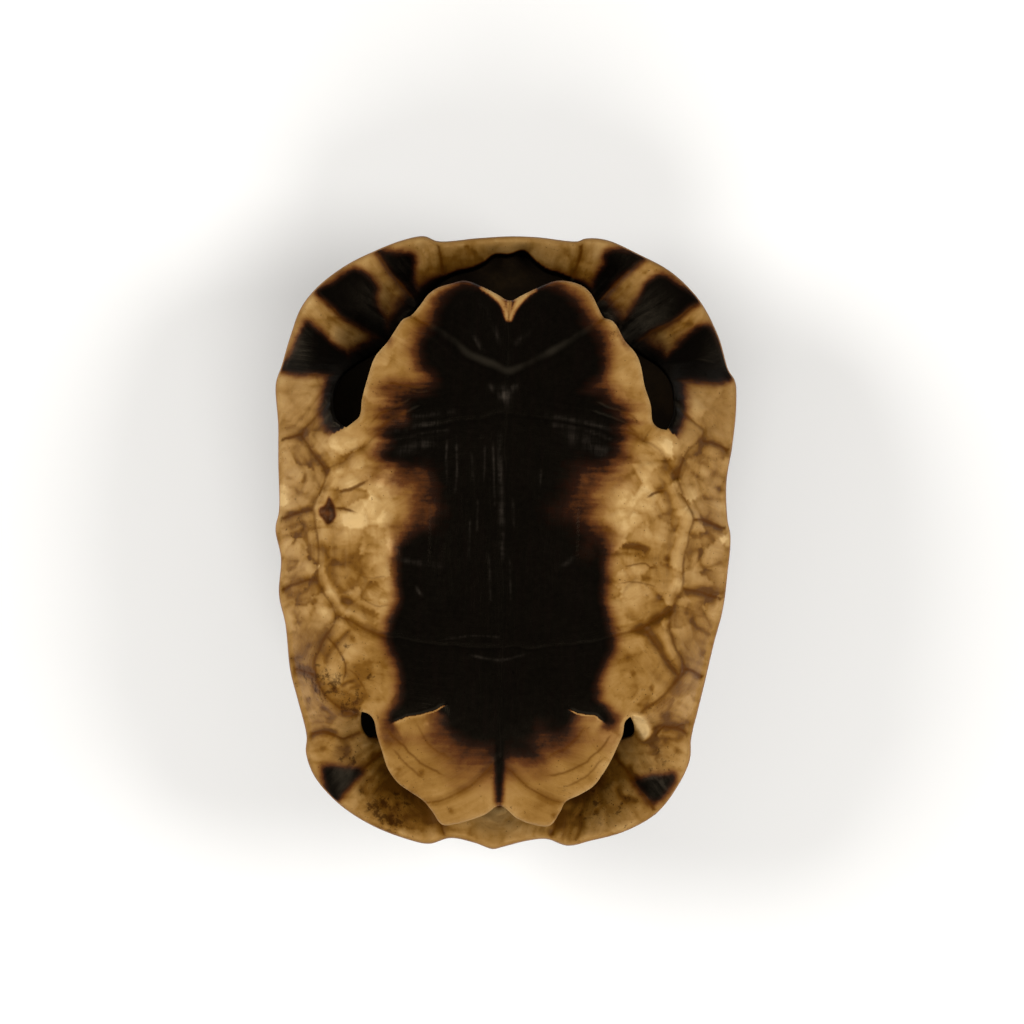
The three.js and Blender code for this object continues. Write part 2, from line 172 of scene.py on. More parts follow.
# Thin cracks and drying lines in the horn: (points, depth, width, darkness).
CRACKS = [
    ([(-73, 12.9), (-67.6, 12.1), (-61.5, 10.8)], 0.45, 0.5, 0.8),
    ([(-71.2, 19), (-64.9, 20.9), (-60.5, 23.4), (-57, 25.4)], 0.8, 0.6, 0.75),
    ([(58.2, 19.6), (62.8, 21.6), (68.4, 23.6)], 0.6, 0.5, 0.85),
    ([(53.4, -1.2), (56, -0.4), (58.9, -0.9)], 0.4, 0.5, 0.9),
    ([(64.9, -81.1), (68.2, -76.8), (73.2, -76.3), (79.5, -75.3)], 0.4, 0.4, 0.9),
    ([(-75, -40), (-70, -46), (-66, -54), (-67, -62)], 0.35, 0.45, 0.5),
    ([(-66, -54), (-60, -58), (-56, -66)], 0.3, 0.4, 0.4),
    ([(-61, -24), (-54, -27.5), (-46, -27)], 0.25, 0.4, 0.35),
    ([(-64, -14), (-56, -16.5), (-47, -15.5)], 0.25, 0.4, 0.3),
    ([(49, -9.5), (58, -8), (66, -10)], 0.25, 0.4, 0.45),
    ([(47, -16.5), (56, -15.6), (66, -18)], 0.25, 0.4, 0.4),
    ([(-52, 66), (-42, 64.6), (-33, 64.2)], 0.3, 0.45, 0.5),
    ([(-52.4, 64), (-42, 62.8), (-31, 62.6)], 0.3, 0.4, 0.35),
    ([(-40, 60), (-54, 52), (-59, 47)], 0.25, 0.5, 0.4),
    ([(-36, 57), (-50, 50), (-57, 44.6)], 0.25, 0.5, 0.4),
    ([(36, 60), (50, 55), (57, 49.4)], 0.25, 0.5, 0.4),
    ([(34, 56.4), (47, 52.4), (55, 46)], 0.25, 0.5, 0.35),
    ([(-48, -79), (-41, -87), (-32, -94), (-22, -99)], 0.3, 0.5, 0.45),
    ([(-46, -87), (-40, -94), (-30, -101)], 0.3, 0.5, 0.4),
    ([(-36, -76), (-30, -85), (-20, -92)], 0.25, 0.5, 0.35),
    ([(47, -79), (40, -88), (30, -95), (18, -98)], 0.3, 0.5, 0.45),
    ([(44, -89), (37, -97), (26, -103)], 0.3, 0.5, 0.4),
    ([(36, -76), (28, -85), (18, -91)], 0.25, 0.5, 0.35),
]
# Where the horn of the hind lobe stands up in front as a chipped edge, pale with a painted highlight, with
# painted shadow in front of it.
STEPS = [
    [(-46.7, -77.4), (-44.2, -75.5), (-41.6, -74.1), (-38.8, -73.1), (-35.2, -72.4), (-32.5, -71.6),
     (-29.9, -70.9), (-27.1, -69.7), (-24.6, -68.6), (-22.1, -67.7)],
    [(27, -68.2), (29.6, -69.6), (34.4, -70.8), (37.1, -71.2), (39.7, -71.7), (42.4, -73.6), (44.6, -75.1)],
]
# Dark pigment of the belly, and how soft its edge is at each height: (along, softness).
BAND = [
    (-13.9, 108.2), (-20.6, 107.9), (-27.2, 102.6), (-30.4, 99.1), (-32, 93.2), (-35.6, 88.1),
    (-38.4, 81.8), (-37.4, 74.6), (-33.1, 68.9), (-37.2, 65.4), (-47.6, 61.8), (-48.8, 57.6), (-50.4, 54.2),
    (-46.1, 51), (-50.2, 45.8), (-51.3, 39.5), (-49.9, 33.3), (-45.7, 31.7), (-43.1, 27.6), (-37.2, 25.2),
    (-34.5, 20.2), (-34.4, 12.7), (-36.8, 6.3), (-40.8, 1.2), (-44.1, -2.7), (-44.7, -12.7), (-44, -25.3),
    (-46.7, -35.9), (-48.2, -42.2), (-44.7, -50.5), (-42.8, -58.8), (-42.3, -66.4), (-45.1, -72.3),
    (-46.7, -76.1), (-34.1, -74.6), (-25.6, -81.6), (-20.5, -84.4), (-17.1, -86.9), (-16.2, -90.2),
    (-8.6, -90.4), (-3.6, -90.3), (-0.2, -91.3), (6.1, -90.1), (14.9, -89.5), (15.2, -86.1), (19.8, -83.5),
    (27.3, -80.4), (37.2, -74.7), (46.4, -74.4), (43, -71.2), (39.5, -65.4), (40.1, -57), (43.3, -48.5),
    (45.6, -40.1), (43.8, -33.8), (41.9, -23.4), (41.6, -10.8), (41.4, -0.8), (37.1, 5), (32.8, 10),
    (34.3, 16.3), (35, 23.4), (37.4, 30.2), (41.5, 32.8), (47.3, 36.3), (48, 43.8), (46.1, 50.5),
    (47.7, 55.6), (42.6, 59.7), (40, 63.8), (34.9, 66.2), (37.3, 70.4), (39.7, 76.4), (40.4, 83.5),
    (36.9, 88.9), (31.7, 94.6), (29.1, 99.6), (25.7, 103.7), (18.9, 107.9), (12.1, 108.6), (0, 103.5),
]
BAND_SOFTNESS = [
    (-92, 9), (-84, 10), (-75, 4), (-66, 3.6), (-30, 3.4), (-4, 3.4), (6, 7), (24, 9), (34, 6), (45, 5.5),
    (60, 8), (72, 5), (90, 5), (110, 5),
]
# Dark wedges of the rim plates.
WEDGES = [
    [(-58.6, 124), (-50.2, 122.6), (-42.1, 121.5), (-42, 113), (-39.6, 103.4), (-48.2, 110.7),
     (-54.4, 118.2)],
    [(-82.6, 104.9), (-75.3, 109.8), (-67.8, 115), (-61.8, 112.6), (-57.8, 108.4), (-58, 101.6),
     (-54.1, 94), (-50.6, 83.3), (-62.1, 89.9), (-70.3, 93.9), (-75.9, 98.9)],
    [(-97.4, 71.2), (-92.4, 79.4), (-86.6, 91.8), (-81.4, 88.1), (-74.1, 81.9), (-68, 77.6), (-66.6, 71.7),
     (-73, 69.3), (-80.2, 69.5), (-88.6, 69.3)],
    [(40.6, 124.6), (48.2, 126), (57, 123), (50.6, 117.3), (43, 110.3), (36.2, 102.9), (35.2, 110.8),
     (38.6, 117.7)],
    [(80.4, 105.7), (71.8, 111.5), (64.5, 115.4), (59, 112.8), (55.7, 107.6), (51.4, 99.9), (46.3, 91.3),
     (50.8, 84), (59.9, 91.3), (68.4, 95.3), (73.8, 99.7)],
    [(95, 72.9), (91, 83.5), (84.3, 93.9), (79.7, 92.6), (74.4, 89.1), (69.2, 83.1), (65, 76.2),
     (67.7, 69.6), (79.3, 70.4), (87, 69.7)],
    [(-70.1, -112.2), (-74.5, -105.1), (-74.7, -97.4), (-67, -97.3), (-59, -98.4), (-65.1, -106.6)],
    [(65.9, -109.1), (61.1, -105), (57.6, -100.4), (65.6, -98.1), (74.1, -97.1), (72.1, -103.5)],
]
WEDGE_SOFTNESS = 2.2
# The small gnawed hole at the left bridge.
HOLE = [
    (-74.6, 17.5), (-72.5, 15.2), (-71.5, 11.8), (-71.3, 8.9), (-73.4, 6.2), (-74.9, 5.5), (-76.6, 7.6),
    (-78.6, 10.1), (-78.2, 12.8), (-76.1, 13.9),
]
# The two pale strips at the front notch and the wedge between them: (points, width, strength).
PALE_LINES = [
    ([(-12, 107), (-7.5, 104), (-3.4, 99.8), (-0.9, 94)], 2.3, 4.1),
    ([(10, 106.6), (5.9, 103.6), (2.4, 99.4), (-0.1, 94)], 2.3, 4.1), ([(-0.6, 103), (-0.6, 96)], 2.2, 4.1),
]
# Grey wear and dust in the black: (points, width, strength).
DUST = [
    ([(-47.1, 36.7), (-38.8, 39.4), (-29.6, 42.6)], 2, 0.5),
    ([(24, 45.8), (34.6, 42.3), (43.9, 37.1)], 2.3, 0.55),
    ([(-50.3, 49.6), (-37, 52), (-22.3, 54.5)], 0.8, 0.45),
    ([(-51.5, 44.6), (-38.9, 47.4), (-24.3, 50.2)], 0.8, 0.5),
    ([(-48.5, 41.3), (-34.7, 45), (-25.1, 46.4)], 0.6, 0.35),
    ([(15.5, 53.6), (30.2, 51.4), (43.7, 48)], 0.8, 0.35),
    ([(17.6, 49.9), (32.4, 47.7), (45.1, 43.4)], 0.7, 0.35),
    ([(-3.3, 46.1), (-2.9, 30.1), (-1.6, 9.2), (-1.2, -7.6)], 0.9, 0.5),
    ([(-25.4, 42.2), (-25.6, 33), (-25, 25.5)], 0.4, 0.4),
    ([(-21.7, 44), (-20.9, 29.7), (-21.6, 20.5)], 0.45, 0.45), ([(-14.8, 37.4), (-14.1, 23.6)], 0.5, 0.4),
    ([(-9.4, 40.1), (-9.5, 25)], 0.4, 0.35), ([(-6.1, 42.7), (-4.7, 15.4)], 0.45, 0.4),
    ([(-15, 9.7), (-15.1, -7.9)], 0.45, 0.4), ([(-6.7, -5.6), (-5.5, -24.5)], 0.4, 0.35),
    ([(2.8, 18.5), (3.5, 6)], 0.4, 0.3), ([(14.3, 30.5), (13.7, 17.9)], 0.45, 0.35),
    ([(-11.8, 17.4), (-12, 4.8)], 0.4, 0.3), ([(2.1, -7.5), (2.9, -24.3)], 0.4, 0.35),
    ([(-2.4, 64.1), (-1.9, 61.6), (-1, 59.1)], 1.7, 2.6), ([(-7.9, 65.7), (-5.7, 63.2)], 0.9, 1.6),
    ([(3.4, 65.9), (1.4, 63.4)], 0.9, 1.6), ([(0.1, 62.9), (-1, 60)], 1.2, 1.8),
    ([(-37, -19.3), (-35.7, -21.8), (-34, -23.4)], 0.5, 0.6),
    ([(23.2, -9.6), (26.5, -7.8), (29.4, -5.2)], 0.8, 0.3),
    ([(-44.8, -8.6), (-35.6, -9.6), (-25.1, -10.6)], 1, 0.3),
    ([(-13.7, -47.7), (-1.1, -49.5), (11.4, -46.3)], 0.5, 0.35),
    ([(-26.5, -41.7), (-13.9, -39.7), (-1.3, -39.9)], 0.4, 0.3),
    ([(-12.9, 101.2), (-7.6, 92.1), (-4.1, 83)], 0.9, 0.25), ([(8.4, 89.1), (2.2, 82.7)], 0.8, 0.25),
    ([(-16.8, 88.6), (-10.7, 79.5)], 0.7, 0.25),
]
# Places where the black thins to red-brown: across, along, radius, amount.
THIN = [
    (-37, 26.8, 7, 0.8), (30.2, 27.2, 8, 0.8), (24.7, 13.1, 8.5, 0.85), (-32.3, 10.5, 8, 0.7),
    (-44.2, 53.3, 5, 0.8), (-25.5, -83.6, 6, 0.7), (18.5, -80.6, 6, 0.7), (34.5, -2, 6, 0.7),
]
# Red-brown stains beside the black: across, along, radius, depth of the stain.
STAINS = [
    (-43.6, 32.2, 4, -0.15), (-40.2, 28.1, 5, -0.35), (-37.1, 22.7, 4.5, -0.4), (37.7, 32.7, 4.5, -0.35),
    (41.4, 36.2, 3.5, -0.3), (-52.6, 58, 4, -1.35), (-47.2, 58.5, 4.5, -1.1), (-41.7, 57.4, 4.5, -0.8),
    (-56.4, 59.2, 3.5, -1.6), (40, 61.3, 4.5, -0.8), (45.1, 60.2, 4.5, -1.1), (50.2, 59, 4, -1.45),
    (37.5, 26.8, 4, -0.25), (-32.2, -67, 5, -0.4), (-25.6, -81.5, 6, -0.4), (24.7, -80.4, 6, -0.5),
]
# Soft brown creases of the worn horn: (points, width, strength).
CREASES = [
    ([(-84.2, 27.6), (-85.2, 25.1), (-86.3, 22.7)], 1, 1), ([(-93.8, 25.2), (-89.9, 24.8)], 1, 0.7),
    ([(-84.4, 16), (-83.8, 17.4)], 1, 0.4), ([(-94.8, 7.6), (-90.1, 10.5), (-81.9, 12.1)], 1.5, 0.6),
    ([(-89.6, -3.5), (-88.4, -0.1), (-88, 2.3)], 0.9, 1), ([(-86, 0.9), (-85.7, 4.3)], 0.8, 0.7),
    ([(-83.3, 2.4), (-83.5, -5.2), (-82.1, -9.4)], 1.6, 0.3),
    ([(-82.9, -7.8), (-80.9, -10.7), (-78.9, -13.1)], 1.5, 0.75),
    ([(-91.2, -19.3), (-85.8, -17.5), (-81.1, -16.6)], 2.4, 0.5),
    ([(-80.5, -25), (-79.6, -29), (-81.2, -33.4)], 1.2, 0.65), ([(-89.4, -36.6), (-84.6, -35.6)], 1, 0.6),
    ([(-76.8, 0.1), (-73.7, -8), (-70.5, -9.8), (-66.1, -12.1)], 1.8, 0.7),
    ([(-59.5, -3.8), (-54.2, -3.2), (-48.8, -8.4), (-44, -9.3)], 2, 0.6),
    ([(-53.8, 15.6), (-55, 10.7), (-57.3, 3.9), (-60.1, -2.6)], 2.2, 0.55),
    ([(-65.7, -16.6), (-63.9, -21.6), (-66.7, -25)], 2, 0.45), ([(-68.7, -26.2), (-62.9, -26.5)], 1.2, 0.6),
    ([(-82, 37.8), (-77, 30.6), (-75, 27.4)], 1.6, 0.8),
    ([(-78.1, 36.2), (-73, 31.9), (-68.1, 35)], 1.8, 0.45),
    ([(-63.8, -37.9), (-70.1, -44.5), (-73.6, -49.7), (-73.9, -53.5)], 1.4, 0.85),
    ([(-83.3, -53.6), (-81.2, -56.8), (-78.3, -59.2)], 1.7, 1.2),
    ([(-80.3, -61.3), (-78.2, -64.1), (-75.8, -65.4)], 1.2, 0.65),
    ([(-67.7, -62), (-64.5, -60.2), (-61.7, -59.4)], 0.9, 0.95),
    ([(-64.4, -62.7), (-58.8, -61.5)], 0.9, 0.6), ([(-65.9, -51.8), (-64.7, -50.9)], 1.1, 0.65),
    ([(-62.7, -69.6), (-59.8, -68.3)], 1, 0.95), ([(-76.8, -71), (-73.9, -73)], 1.3, 1),
    ([(-73.8, -75.1), (-71.3, -77.5)], 1.5, 0.85), ([(-83, -69.5), (-80.6, -67)], 1.2, 0.75),
    ([(-73.7, -81.2), (-71.2, -82)], 1, 0.95), ([(-67.4, -74.2), (-63.4, -73.3), (-59.8, -72.4)], 1.1, 1.1),
    ([(-78.8, -75.1), (-78.3, -79.3)], 2.4, 0.5),
    ([(-81.3, -85.5), (-77.1, -82.2), (-68.2, -81.7)], 1.2, 0.85),
    ([(-69.9, -86.3), (-66.6, -89), (-61.2, -89.4)], 2.6, 0.5),
    ([(78.7, 37), (82, 41), (85.4, 43.5), (90.3, 42.1), (93.7, 39.3)], 2, 0.75),
    ([(79.3, 36.6), (81.7, 35.1), (84.2, 35.7)], 1.3, 0.6),
    ([(56.8, 42.8), (62, 37.9), (66, 35.1), (69.3, 30.1), (72.6, 27.3)], 2.4, 0.6),
    ([(80.9, 30.8), (80.7, 28.4)], 1, 0.5), ([(90.7, 26.1), (90.2, 23.2)], 1.4, 0.8),
    ([(80.9, 10.5), (84.4, 10.5), (87.6, 9.5)], 1.3, 0.7),
    ([(87.6, 9.1), (89.9, 7.7), (92.5, 6.4)], 1.3, 1.2), ([(86.3, 4.8), (87.8, 1.4)], 1.5, 0.4),
    ([(80, 7.1), (78.6, 1.2), (77.9, -8.5), (77.1, -15.8)], 1.5, 0.6),
    ([(82.1, -0.2), (82.2, -5), (83.7, -8.8), (88.5, -7.8), (92.4, -6.2)], 1.1, 0.85),
    ([(75.2, -19.7), (81.5, -19.1), (85.9, -19), (89.8, -22.3)], 1.7, 1),
    ([(84.5, -22.9), (90.3, -24.7)], 1.4, 0.7), ([(78.2, -23), (77.2, -26.1), (77, -29.5)], 1.2, 0.9),
    ([(78, -30.4), (82.2, -34.4), (88.2, -37.5)], 1.2, 0.95), ([(66.2, -20.8), (64.8, -22.7)], 1, 0.65),
    ([(66.3, 21.2), (68.3, 15.4), (70.4, 9.7), (68.6, 2), (67.3, -2.7)], 2, 0.55),
    ([(48.5, -0.9), (55.2, -0.8), (61.5, -1.6)], 1.2, 1),
    ([(40.8, -4.5), (48.5, -3.8), (57.7, -4.1)], 1, 0.7),
    ([(41.5, -15.5), (52.1, -14.3), (62.2, -13.6)], 1.9, 0.9), ([(56.1, -18.6), (59.4, -18)], 1.5, 0.5),
    ([(54.6, -37.1), (58.2, -36.5), (61.9, -37), (66.1, -42.3), (69.4, -49.5), (73.2, -54)], 1.4, 0.85),
    ([(79.9, -54.6), (85.5, -55.8)], 1.2, 0.55), ([(76.2, -54.8), (74.5, -58.3), (72.5, -64)], 3, 0.6),
    ([(79.8, -69.2), (76.6, -67), (73.5, -65.9)], 1.2, 0.55),
    ([(66.3, -70.5), (69.1, -71.9), (71.8, -72.7)], 1.8, 1),
    ([(68.2, -76.4), (73.4, -76), (78.6, -76.1)], 2, 0.95), ([(73.6, -80.3), (78.7, -81.6)], 2, 0.9),
    ([(66, -77.4), (64, -80.9), (60.8, -83.3)], 0.9, 1.1),
    ([(63.2, -57.9), (62.4, -59.7), (63.3, -61.1)], 0.7, 0.7),
    ([(57.1, -68), (59.7, -64.3), (62.4, -63.4)], 1.3, 0.5),
    ([(54.7, -95.4), (56.8, -97.6), (58.6, -99.2)], 1, 1),
    ([(52.2, -102), (51, -104.5), (51.7, -106.9), (55.3, -108.2), (59.4, -108.9)], 1.6, 0.85),
    ([(35.1, -114.8), (34.7, -120.8), (32.1, -126.2)], 1.2, 0.8),
    ([(28.2, -111.4), (26.7, -117.2), (25.5, -122.4)], 2.6, 1),
    ([(35.8, -106.2), (35.4, -109.9)], 1.6, 0.5),
    ([(-31.5, -115.2), (-28.9, -118.6), (-28.8, -122.4)], 3.2, 1.1),
    ([(-40.2, -105), (-33.7, -111.9), (-28.9, -117.7)], 2.2, 0.8),
]
# Dark pits and spots: across, along, radius, strength.
SPOTS = [
    (-91.5, -28, 1.4, 0.7), (-91.6, -12.2, 1.2, 0.6), (-86.3, -31.6, 0.6, 0.9), (-81.5, -45.6, 1, 0.6),
    (-71.7, -9.9, 1.3, 0.8), (-70.1, -63.6, 1.4, 1.2), (-63.3, -41.5, 1.1, 0.8), (-57.5, -66.2, 2, 0.8),
    (-52.1, -66.9, 1.2, 0.5), (-81.7, -72.4, 1.2, 0.7), (-75, 27.8, 1.6, 1), (-65.5, -91.6, 0.9, 0.9),
    (-49.3, -112.4, 1.3, 1), (-46.2, -117.7, 1, 1.1), (-45.4, -119.9, 0.9, 1), (-39.5, -117.6, 0.9, 1.1),
    (-41.5, -121.9, 0.8, 0.9), (-43.4, -112.2, 1.8, 0.7), (-44.6, -106.3, 1.5, 0.7),
    (-52.7, -106.5, 1.4, 0.6), (-55, -101.7, 1.4, 0.6), (-58.6, -107.2, 1.8, 0.5),
    (-49.1, -104.2, 2.6, 0.5), (-49.6, -120.7, 1, 0.7), (-54.1, -91.9, 1.8, 0.8), (-50.2, -97.2, 1.4, 0.7),
    (-33, -97.7, 1.1, 0.8), (-42.2, -96.6, 1, 0.4), (-20.4, -113.4, 1.1, 0.8), (-65.8, -116, 1.2, 0.5),
    (90.2, 24.2, 1.6, 0.8), (68.3, -5.8, 1.7, 1.3), (60.7, 10, 1.8, 0.6), (56.9, 32.5, 1.5, 0.6),
    (42.5, 5.7, 3.2, 0.7), (60.4, 1.8, 1.5, 0.45), (75.9, -51.6, 1.5, 1), (85.2, -44.9, 1.4, 0.8),
    (63.8, -84.3, 1.1, 1.1), (69.5, -82.7, 1.2, 0.9), (75.1, -86.8, 1.6, 0.7), (66.4, -88.8, 1.5, 0.7),
    (55, -54, 0.9, 0.9), (50.4, -54.1, 1, 0.45), (52.6, -47.1, 1.2, 0.45), (55.9, -99.2, 1.2, 1.1),
    (55.3, -94.3, 1.1, 0.8), (41.4, -113.6, 1, 1.1), (76.4, -95, 1, 0.8), (74.6, -86.9, 1.2, 0.6),
    (22.3, -122.7, 0.9, 0.9), (23, -114.6, 1.1, 0.8), (21.8, -84.2, 1.8, 0.6), (38.2, -98.5, 1.6, 0.45),
]
# Pale strokes on low ridges of the horn, painted highlights: (points, width, strength).
PALE_STROKES = [
    ([(-68.2, -23.3), (-66.3, -23.9), (-63.9, -22.7)], 0.7, 1),
    ([(-56.7, -22.1), (-55.4, -24.3), (-52.8, -25.4), (-47, -25.2)], 0.8, 0.9),
    ([(-52.9, 23.3), (-50.7, 26.6), (-48.6, 29.6)], 2.2, 1.1),
    ([(-67.5, 9.4), (-65.3, 5.7), (-66.5, 2.3)], 2.2, 0.8), ([(-69.4, 19.4), (-64.8, 20.4)], 1.4, 0.8),
    ([(-55, 12.2), (-58.6, 7.1), (-64.5, 7.4)], 3, 0.5),
    ([(-50.4, -5.7), (-47.9, -1.5), (-48.4, 1)], 2.4, 0.8), ([(-65.7, -50.6), (-63.3, -46.7)], 2.4, 0.8),
    ([(-54.9, -48.7), (-52.7, -52.4)], 2.4, 0.6), ([(-70.7, -54.9), (-69.8, -58.6)], 2.2, 0.8),
    ([(67.2, 41.4), (70, 38.1), (73.3, 35.4)], 3, 1), ([(82.8, 32.2), (84.4, 30.6)], 1.8, 1.1),
    ([(57.2, 26), (60.4, 23.2), (62.4, 21.5)], 1.6, 1), ([(63.7, 19.9), (66.2, 16.6)], 1.5, 1),
    ([(46.3, 27.9), (49.7, 24.6), (51.9, 21.3)], 2.6, 0.7),
    ([(48.6, 17.5), (56.2, 15.5), (61.3, 14)], 2.6, 0.7),
    ([(70, 25.1), (76.4, 14.7), (79.4, 10.9), (76.6, 3.6), (74, -6.1), (73.7, -15.9)], 1.7, 0.7),
    ([(-74.1, 27), (-77.4, 21.5), (-78.9, 15.9), (-79.9, 13)], 1.1, 0.9),
    ([(-79.1, 7.5), (-78.2, -3), (-78, -11.9), (-75.6, -19), (-70.5, -25.9)], 1.5, 0.8),
    ([(-73.7, 27.4), (-69.2, 28.3)], 1, 0.9), ([(-78, -8.1), (-74.8, -15.6), (-73, -21.9)], 2.2, 0.5),
    ([(67.4, -34.2), (68.8, -39.6), (72.3, -45.8)], 1.6, 0.6),
    ([(59.7, -46.1), (57.5, -40.7), (54.1, -42)], 3.2, 0.5), ([(-48.7, -121.6), (-46.6, -122.4)], 1.8, 0.9),
    ([(-41.9, -122.7), (-41, -124.8)], 1.6, 1), ([(-31.4, -76.6), (-30.9, -76.9)], 0.7, 1.2),
    ([(52.2, -103.6), (55.2, -105.2)], 1.6, 0.5), ([(-58.4, -87.8), (-52.9, -86)], 0.7, 0.6),
    ([(64.3, -63.6), (62.3, -70)], 1.6, 0.5),
]
# Low swellings and patches of the worn horn: across, along, radius, height (0 leaves only the tone),
# and how much paler it is, or darker below 0.
LUMPS = [
    (-57, -14, 15, 0, -0.32), (57, -14, 15, 0, -0.18), (-82, -50, 18, 0, -0.18), (-45, -112, 18, 0, -0.2),
    (-60, -58, 14, 0, -0.22), (86, 40, 14, 0, -0.14), (-58, 17, 9, 0.9, 0.16), (-50, 24, 6, 0.4, 0.12),
    (-86, -28, 12, 0, -0.2), (-90, 47, 6, 0, 0.2), (88, -20, 12, 0, -0.12), (-65, -8, 9, 0, -0.32),
    (-58, -28, 8, 0, -0.12), (-89, -10, 6, 0, -0.3), (-18, -106, 10, 0, -0.15), (18, -106, 10, 0, -0.15),
    (-44, -84, 8, 0, -0.12), (-86, -22, 5, 0, -0.25), (-44, -122, 10, 0, -0.28), (40, -122, 10, 0, -0.16),
    (-66, -42, 8, 0, -0.14), (-57, -58, 8, 0, -0.14), (57, -42, 8, 0, -0.15), (88, -33, 6, 0, -0.15),
    (-90, 12, 10, 0, -0.1), (-64, 4, 7, 0.8, 0.22), (-53, 6, 6, 0.5, 0.2), (-50, -8, 8, 0.5, 0.12),
    (-66, -12, 7, 0.4, 0.05), (-56, -24, 7, 0.4, 0.05), (57, 14, 8, 0.9, 0.12), (49, 22, 7, 0.5, 0.18),
    (62, 3, 7, 0.7, 0.22), (50, -6, 7, 0.5, 0.15), (66, -9, 6, 0.4, 0.1), (55, -20, 7, 0.4, 0.08),
    (68, 42, 5, 0.9, 0.3), (-68, 40, 5, 0.5, 0.1), (-64, -46, 8, 0.8, 0.15), (-58, -58, 6, 0.5, 0.1),
    (62, -58, 7, 0.6, 0.05), (-88, 26, 5, 0.6, 0.1), (-89, -4, 5, 0.6, 0.1), (-86, -36, 5, 0.5, 0.1),
    (84, 28, 5, 0.6, 0.1), (86, -4, 5, 0.6, 0.1), (82, -34, 5, 0.5, 0.1), (-86, 56, 6, 0.6, 0.1),
    (82, 58, 6, 0.6, 0.1), (-52, 74, 8, 0.5, 0.12), (52, 70, 8, 0.5, 0.12),
]
# Dirty places: across, along, radius, amount.
DIRT = [
    (-76, -60, 14, 0.9), (-66, -68, 9, 0.9), (-70, -44, 9, 0.5), (-58, -56, 8, 0.5), (-48, -118, 14, 1),
    (-60, -92, 12, 0.6), (44, -112, 16, 0.7), (70, -92, 9, 0.7), (60, -66, 9, 0.7), (72, -48, 8, 0.4),
    (-56, 64, 6, 0.4), (46, 92, 5, 0.8), (-92, 40, 8, 0.3), (-90, 8, 8, 0.35), (88, 36, 8, 0.3),
    (28, -108, 6, 0.5),
]
# The smooth lump at the right hind notch.
YELLOW_LUMP = [
    (54.9, -70.3), (59.9, -71.2), (62.7, -75), (64.2, -78.3), (62.8, -81.5), (60.3, -82.9), (57.2, -78.5),
    (54.5, -73.1),
]


# ------------------------------------------------------------------ plane geometry
LINE_STEP = 1.0  # spacing of the points along outlines and seams
MARK_STEP = 0.8  # the same along cracks, creases and strokes


def run_of(line):
    """How far along a line each of its points lies."""
    return np.concatenate([[0], np.cumsum(np.linalg.norm(np.diff(line[:, :2], axis=0), axis=1))])


def spline(points, step=LINE_STEP, closed=False):
    """A centripetal Catmull-Rom curve through the points, as points an even step apart."""
    p = np.array(points, float)
    if closed:
        p = np.vstack([p[-1:], p, p[:2]])
    else:
        p = np.vstack([2 * p[:1] - p[1:2], p, 2 * p[-1:] - p[-2:-1]])
    runs = []
    for four in zip(p, p[1:], p[2:], p[3:]):
        t = [0.0]
        for u, v in zip(four, four[1:]):
            t.append(t[-1] + max(1e-6, np.linalg.norm((v - u)[:2])) ** 0.5)
        s = np.linspace(t[1], t[2], 24, endpoint=False)[:, None]

        def mix(u, v, i, j):
            return (t[j] - s) / (t[j] - t[i]) * u + (s - t[i]) / (t[j] - t[i]) * v

        one, two, three = mix(*four[:2], 0, 1), mix(*four[1:3], 1, 2), mix(*four[2:], 2, 3)
        runs.append(mix(mix(one, two, 0, 2), mix(two, three, 1, 3), 1, 2))
    line = np.vstack([*runs, p[-2:-1]])
    run = run_of(line)
    at = np.linspace(0, run[-1], max(2, round(run[-1] / step)) + 1)
    even = np.stack([np.interp(at, run, line[:, k]) for k in range(line.shape[1])], 1)
    return even[:-1] if closed else even


def chunks(points, others):
    """The points' numbers in lots that keep the distance tables small."""
    return np.array_split(np.arange(len(points)), len(points) * others // 3_000_000 + 1)


def near(points, line, reach=1e9, closed=False):
    """Distance to a line, on which side of it, and how far along, for points within reach."""
    line = np.asarray(line, float)[:, :2]
    if closed:
        line = np.vstack([line, line[:1]])
    a, ab = line[:-1], np.diff(line, axis=0)
    length = np.hypot(*ab.T)
    start = np.concatenate([[0], np.cumsum(length)[:-1]])
    distance = np.full(len(points), 1e9)
    side = np.zeros(len(points))
    along = np.zeros(len(points))
    close = ((points > line.min(0) - reach) & (points < line.max(0) + reach)).all(1)
    close = np.nonzero(close)[0]
    for part in chunks(close, len(a)):
        ids = close[part]
        q = points[ids][:, None]
        t = np.clip(((q - a) * ab).sum(-1) / (length**2 + 1e-12), 0, 1)
        d = q - (a + t[..., None] * ab)
        far = np.hypot(d[..., 0], d[..., 1])
        k, row = far.argmin(1), np.arange(len(ids))
        distance[ids] = far[row, k]
        side[ids] = np.sign(ab[k, 0] * d[row, k, 1] - ab[k, 1] * d[row, k, 0])
        along[ids] = start[k] + t[row, k] * length[k]
    return distance, side, along


def inside(points, loop):
    """True for the points inside a closed loop."""
    a = np.asarray(loop, float)[:, :2]
    b = np.roll(a, -1, 0)
    found = np.zeros(len(points), bool)
    rise = np.where(a[:, 1] == b[:, 1], 1, b[:, 1] - a[:, 1])
    for ids in chunks(points, len(a)):
        x, y = points[ids, 0][:, None], points[ids, 1][:, None]
        crossing = (a[:, 1] > y) != (b[:, 1] > y)
        at = a[:, 0] + (y - a[:, 1]) / rise * (b[:, 0] - a[:, 0])
        found[ids] = (crossing & (x < at)).sum(1) % 2 == 1
    return found


def depth_in(points, loop):
    """Distance inside a closed loop, negative outside it."""
    distance = near(points, loop, closed=True)[0]
    return np.where(inside(points, loop), distance, -distance)


def step_up(x, low, high):
    """0 up to the low value, 1 from the high one, smooth between them."""
    t = np.clip((x - low) / (high - low), 0, 1)
    return t * t * (3 - 2 * t)


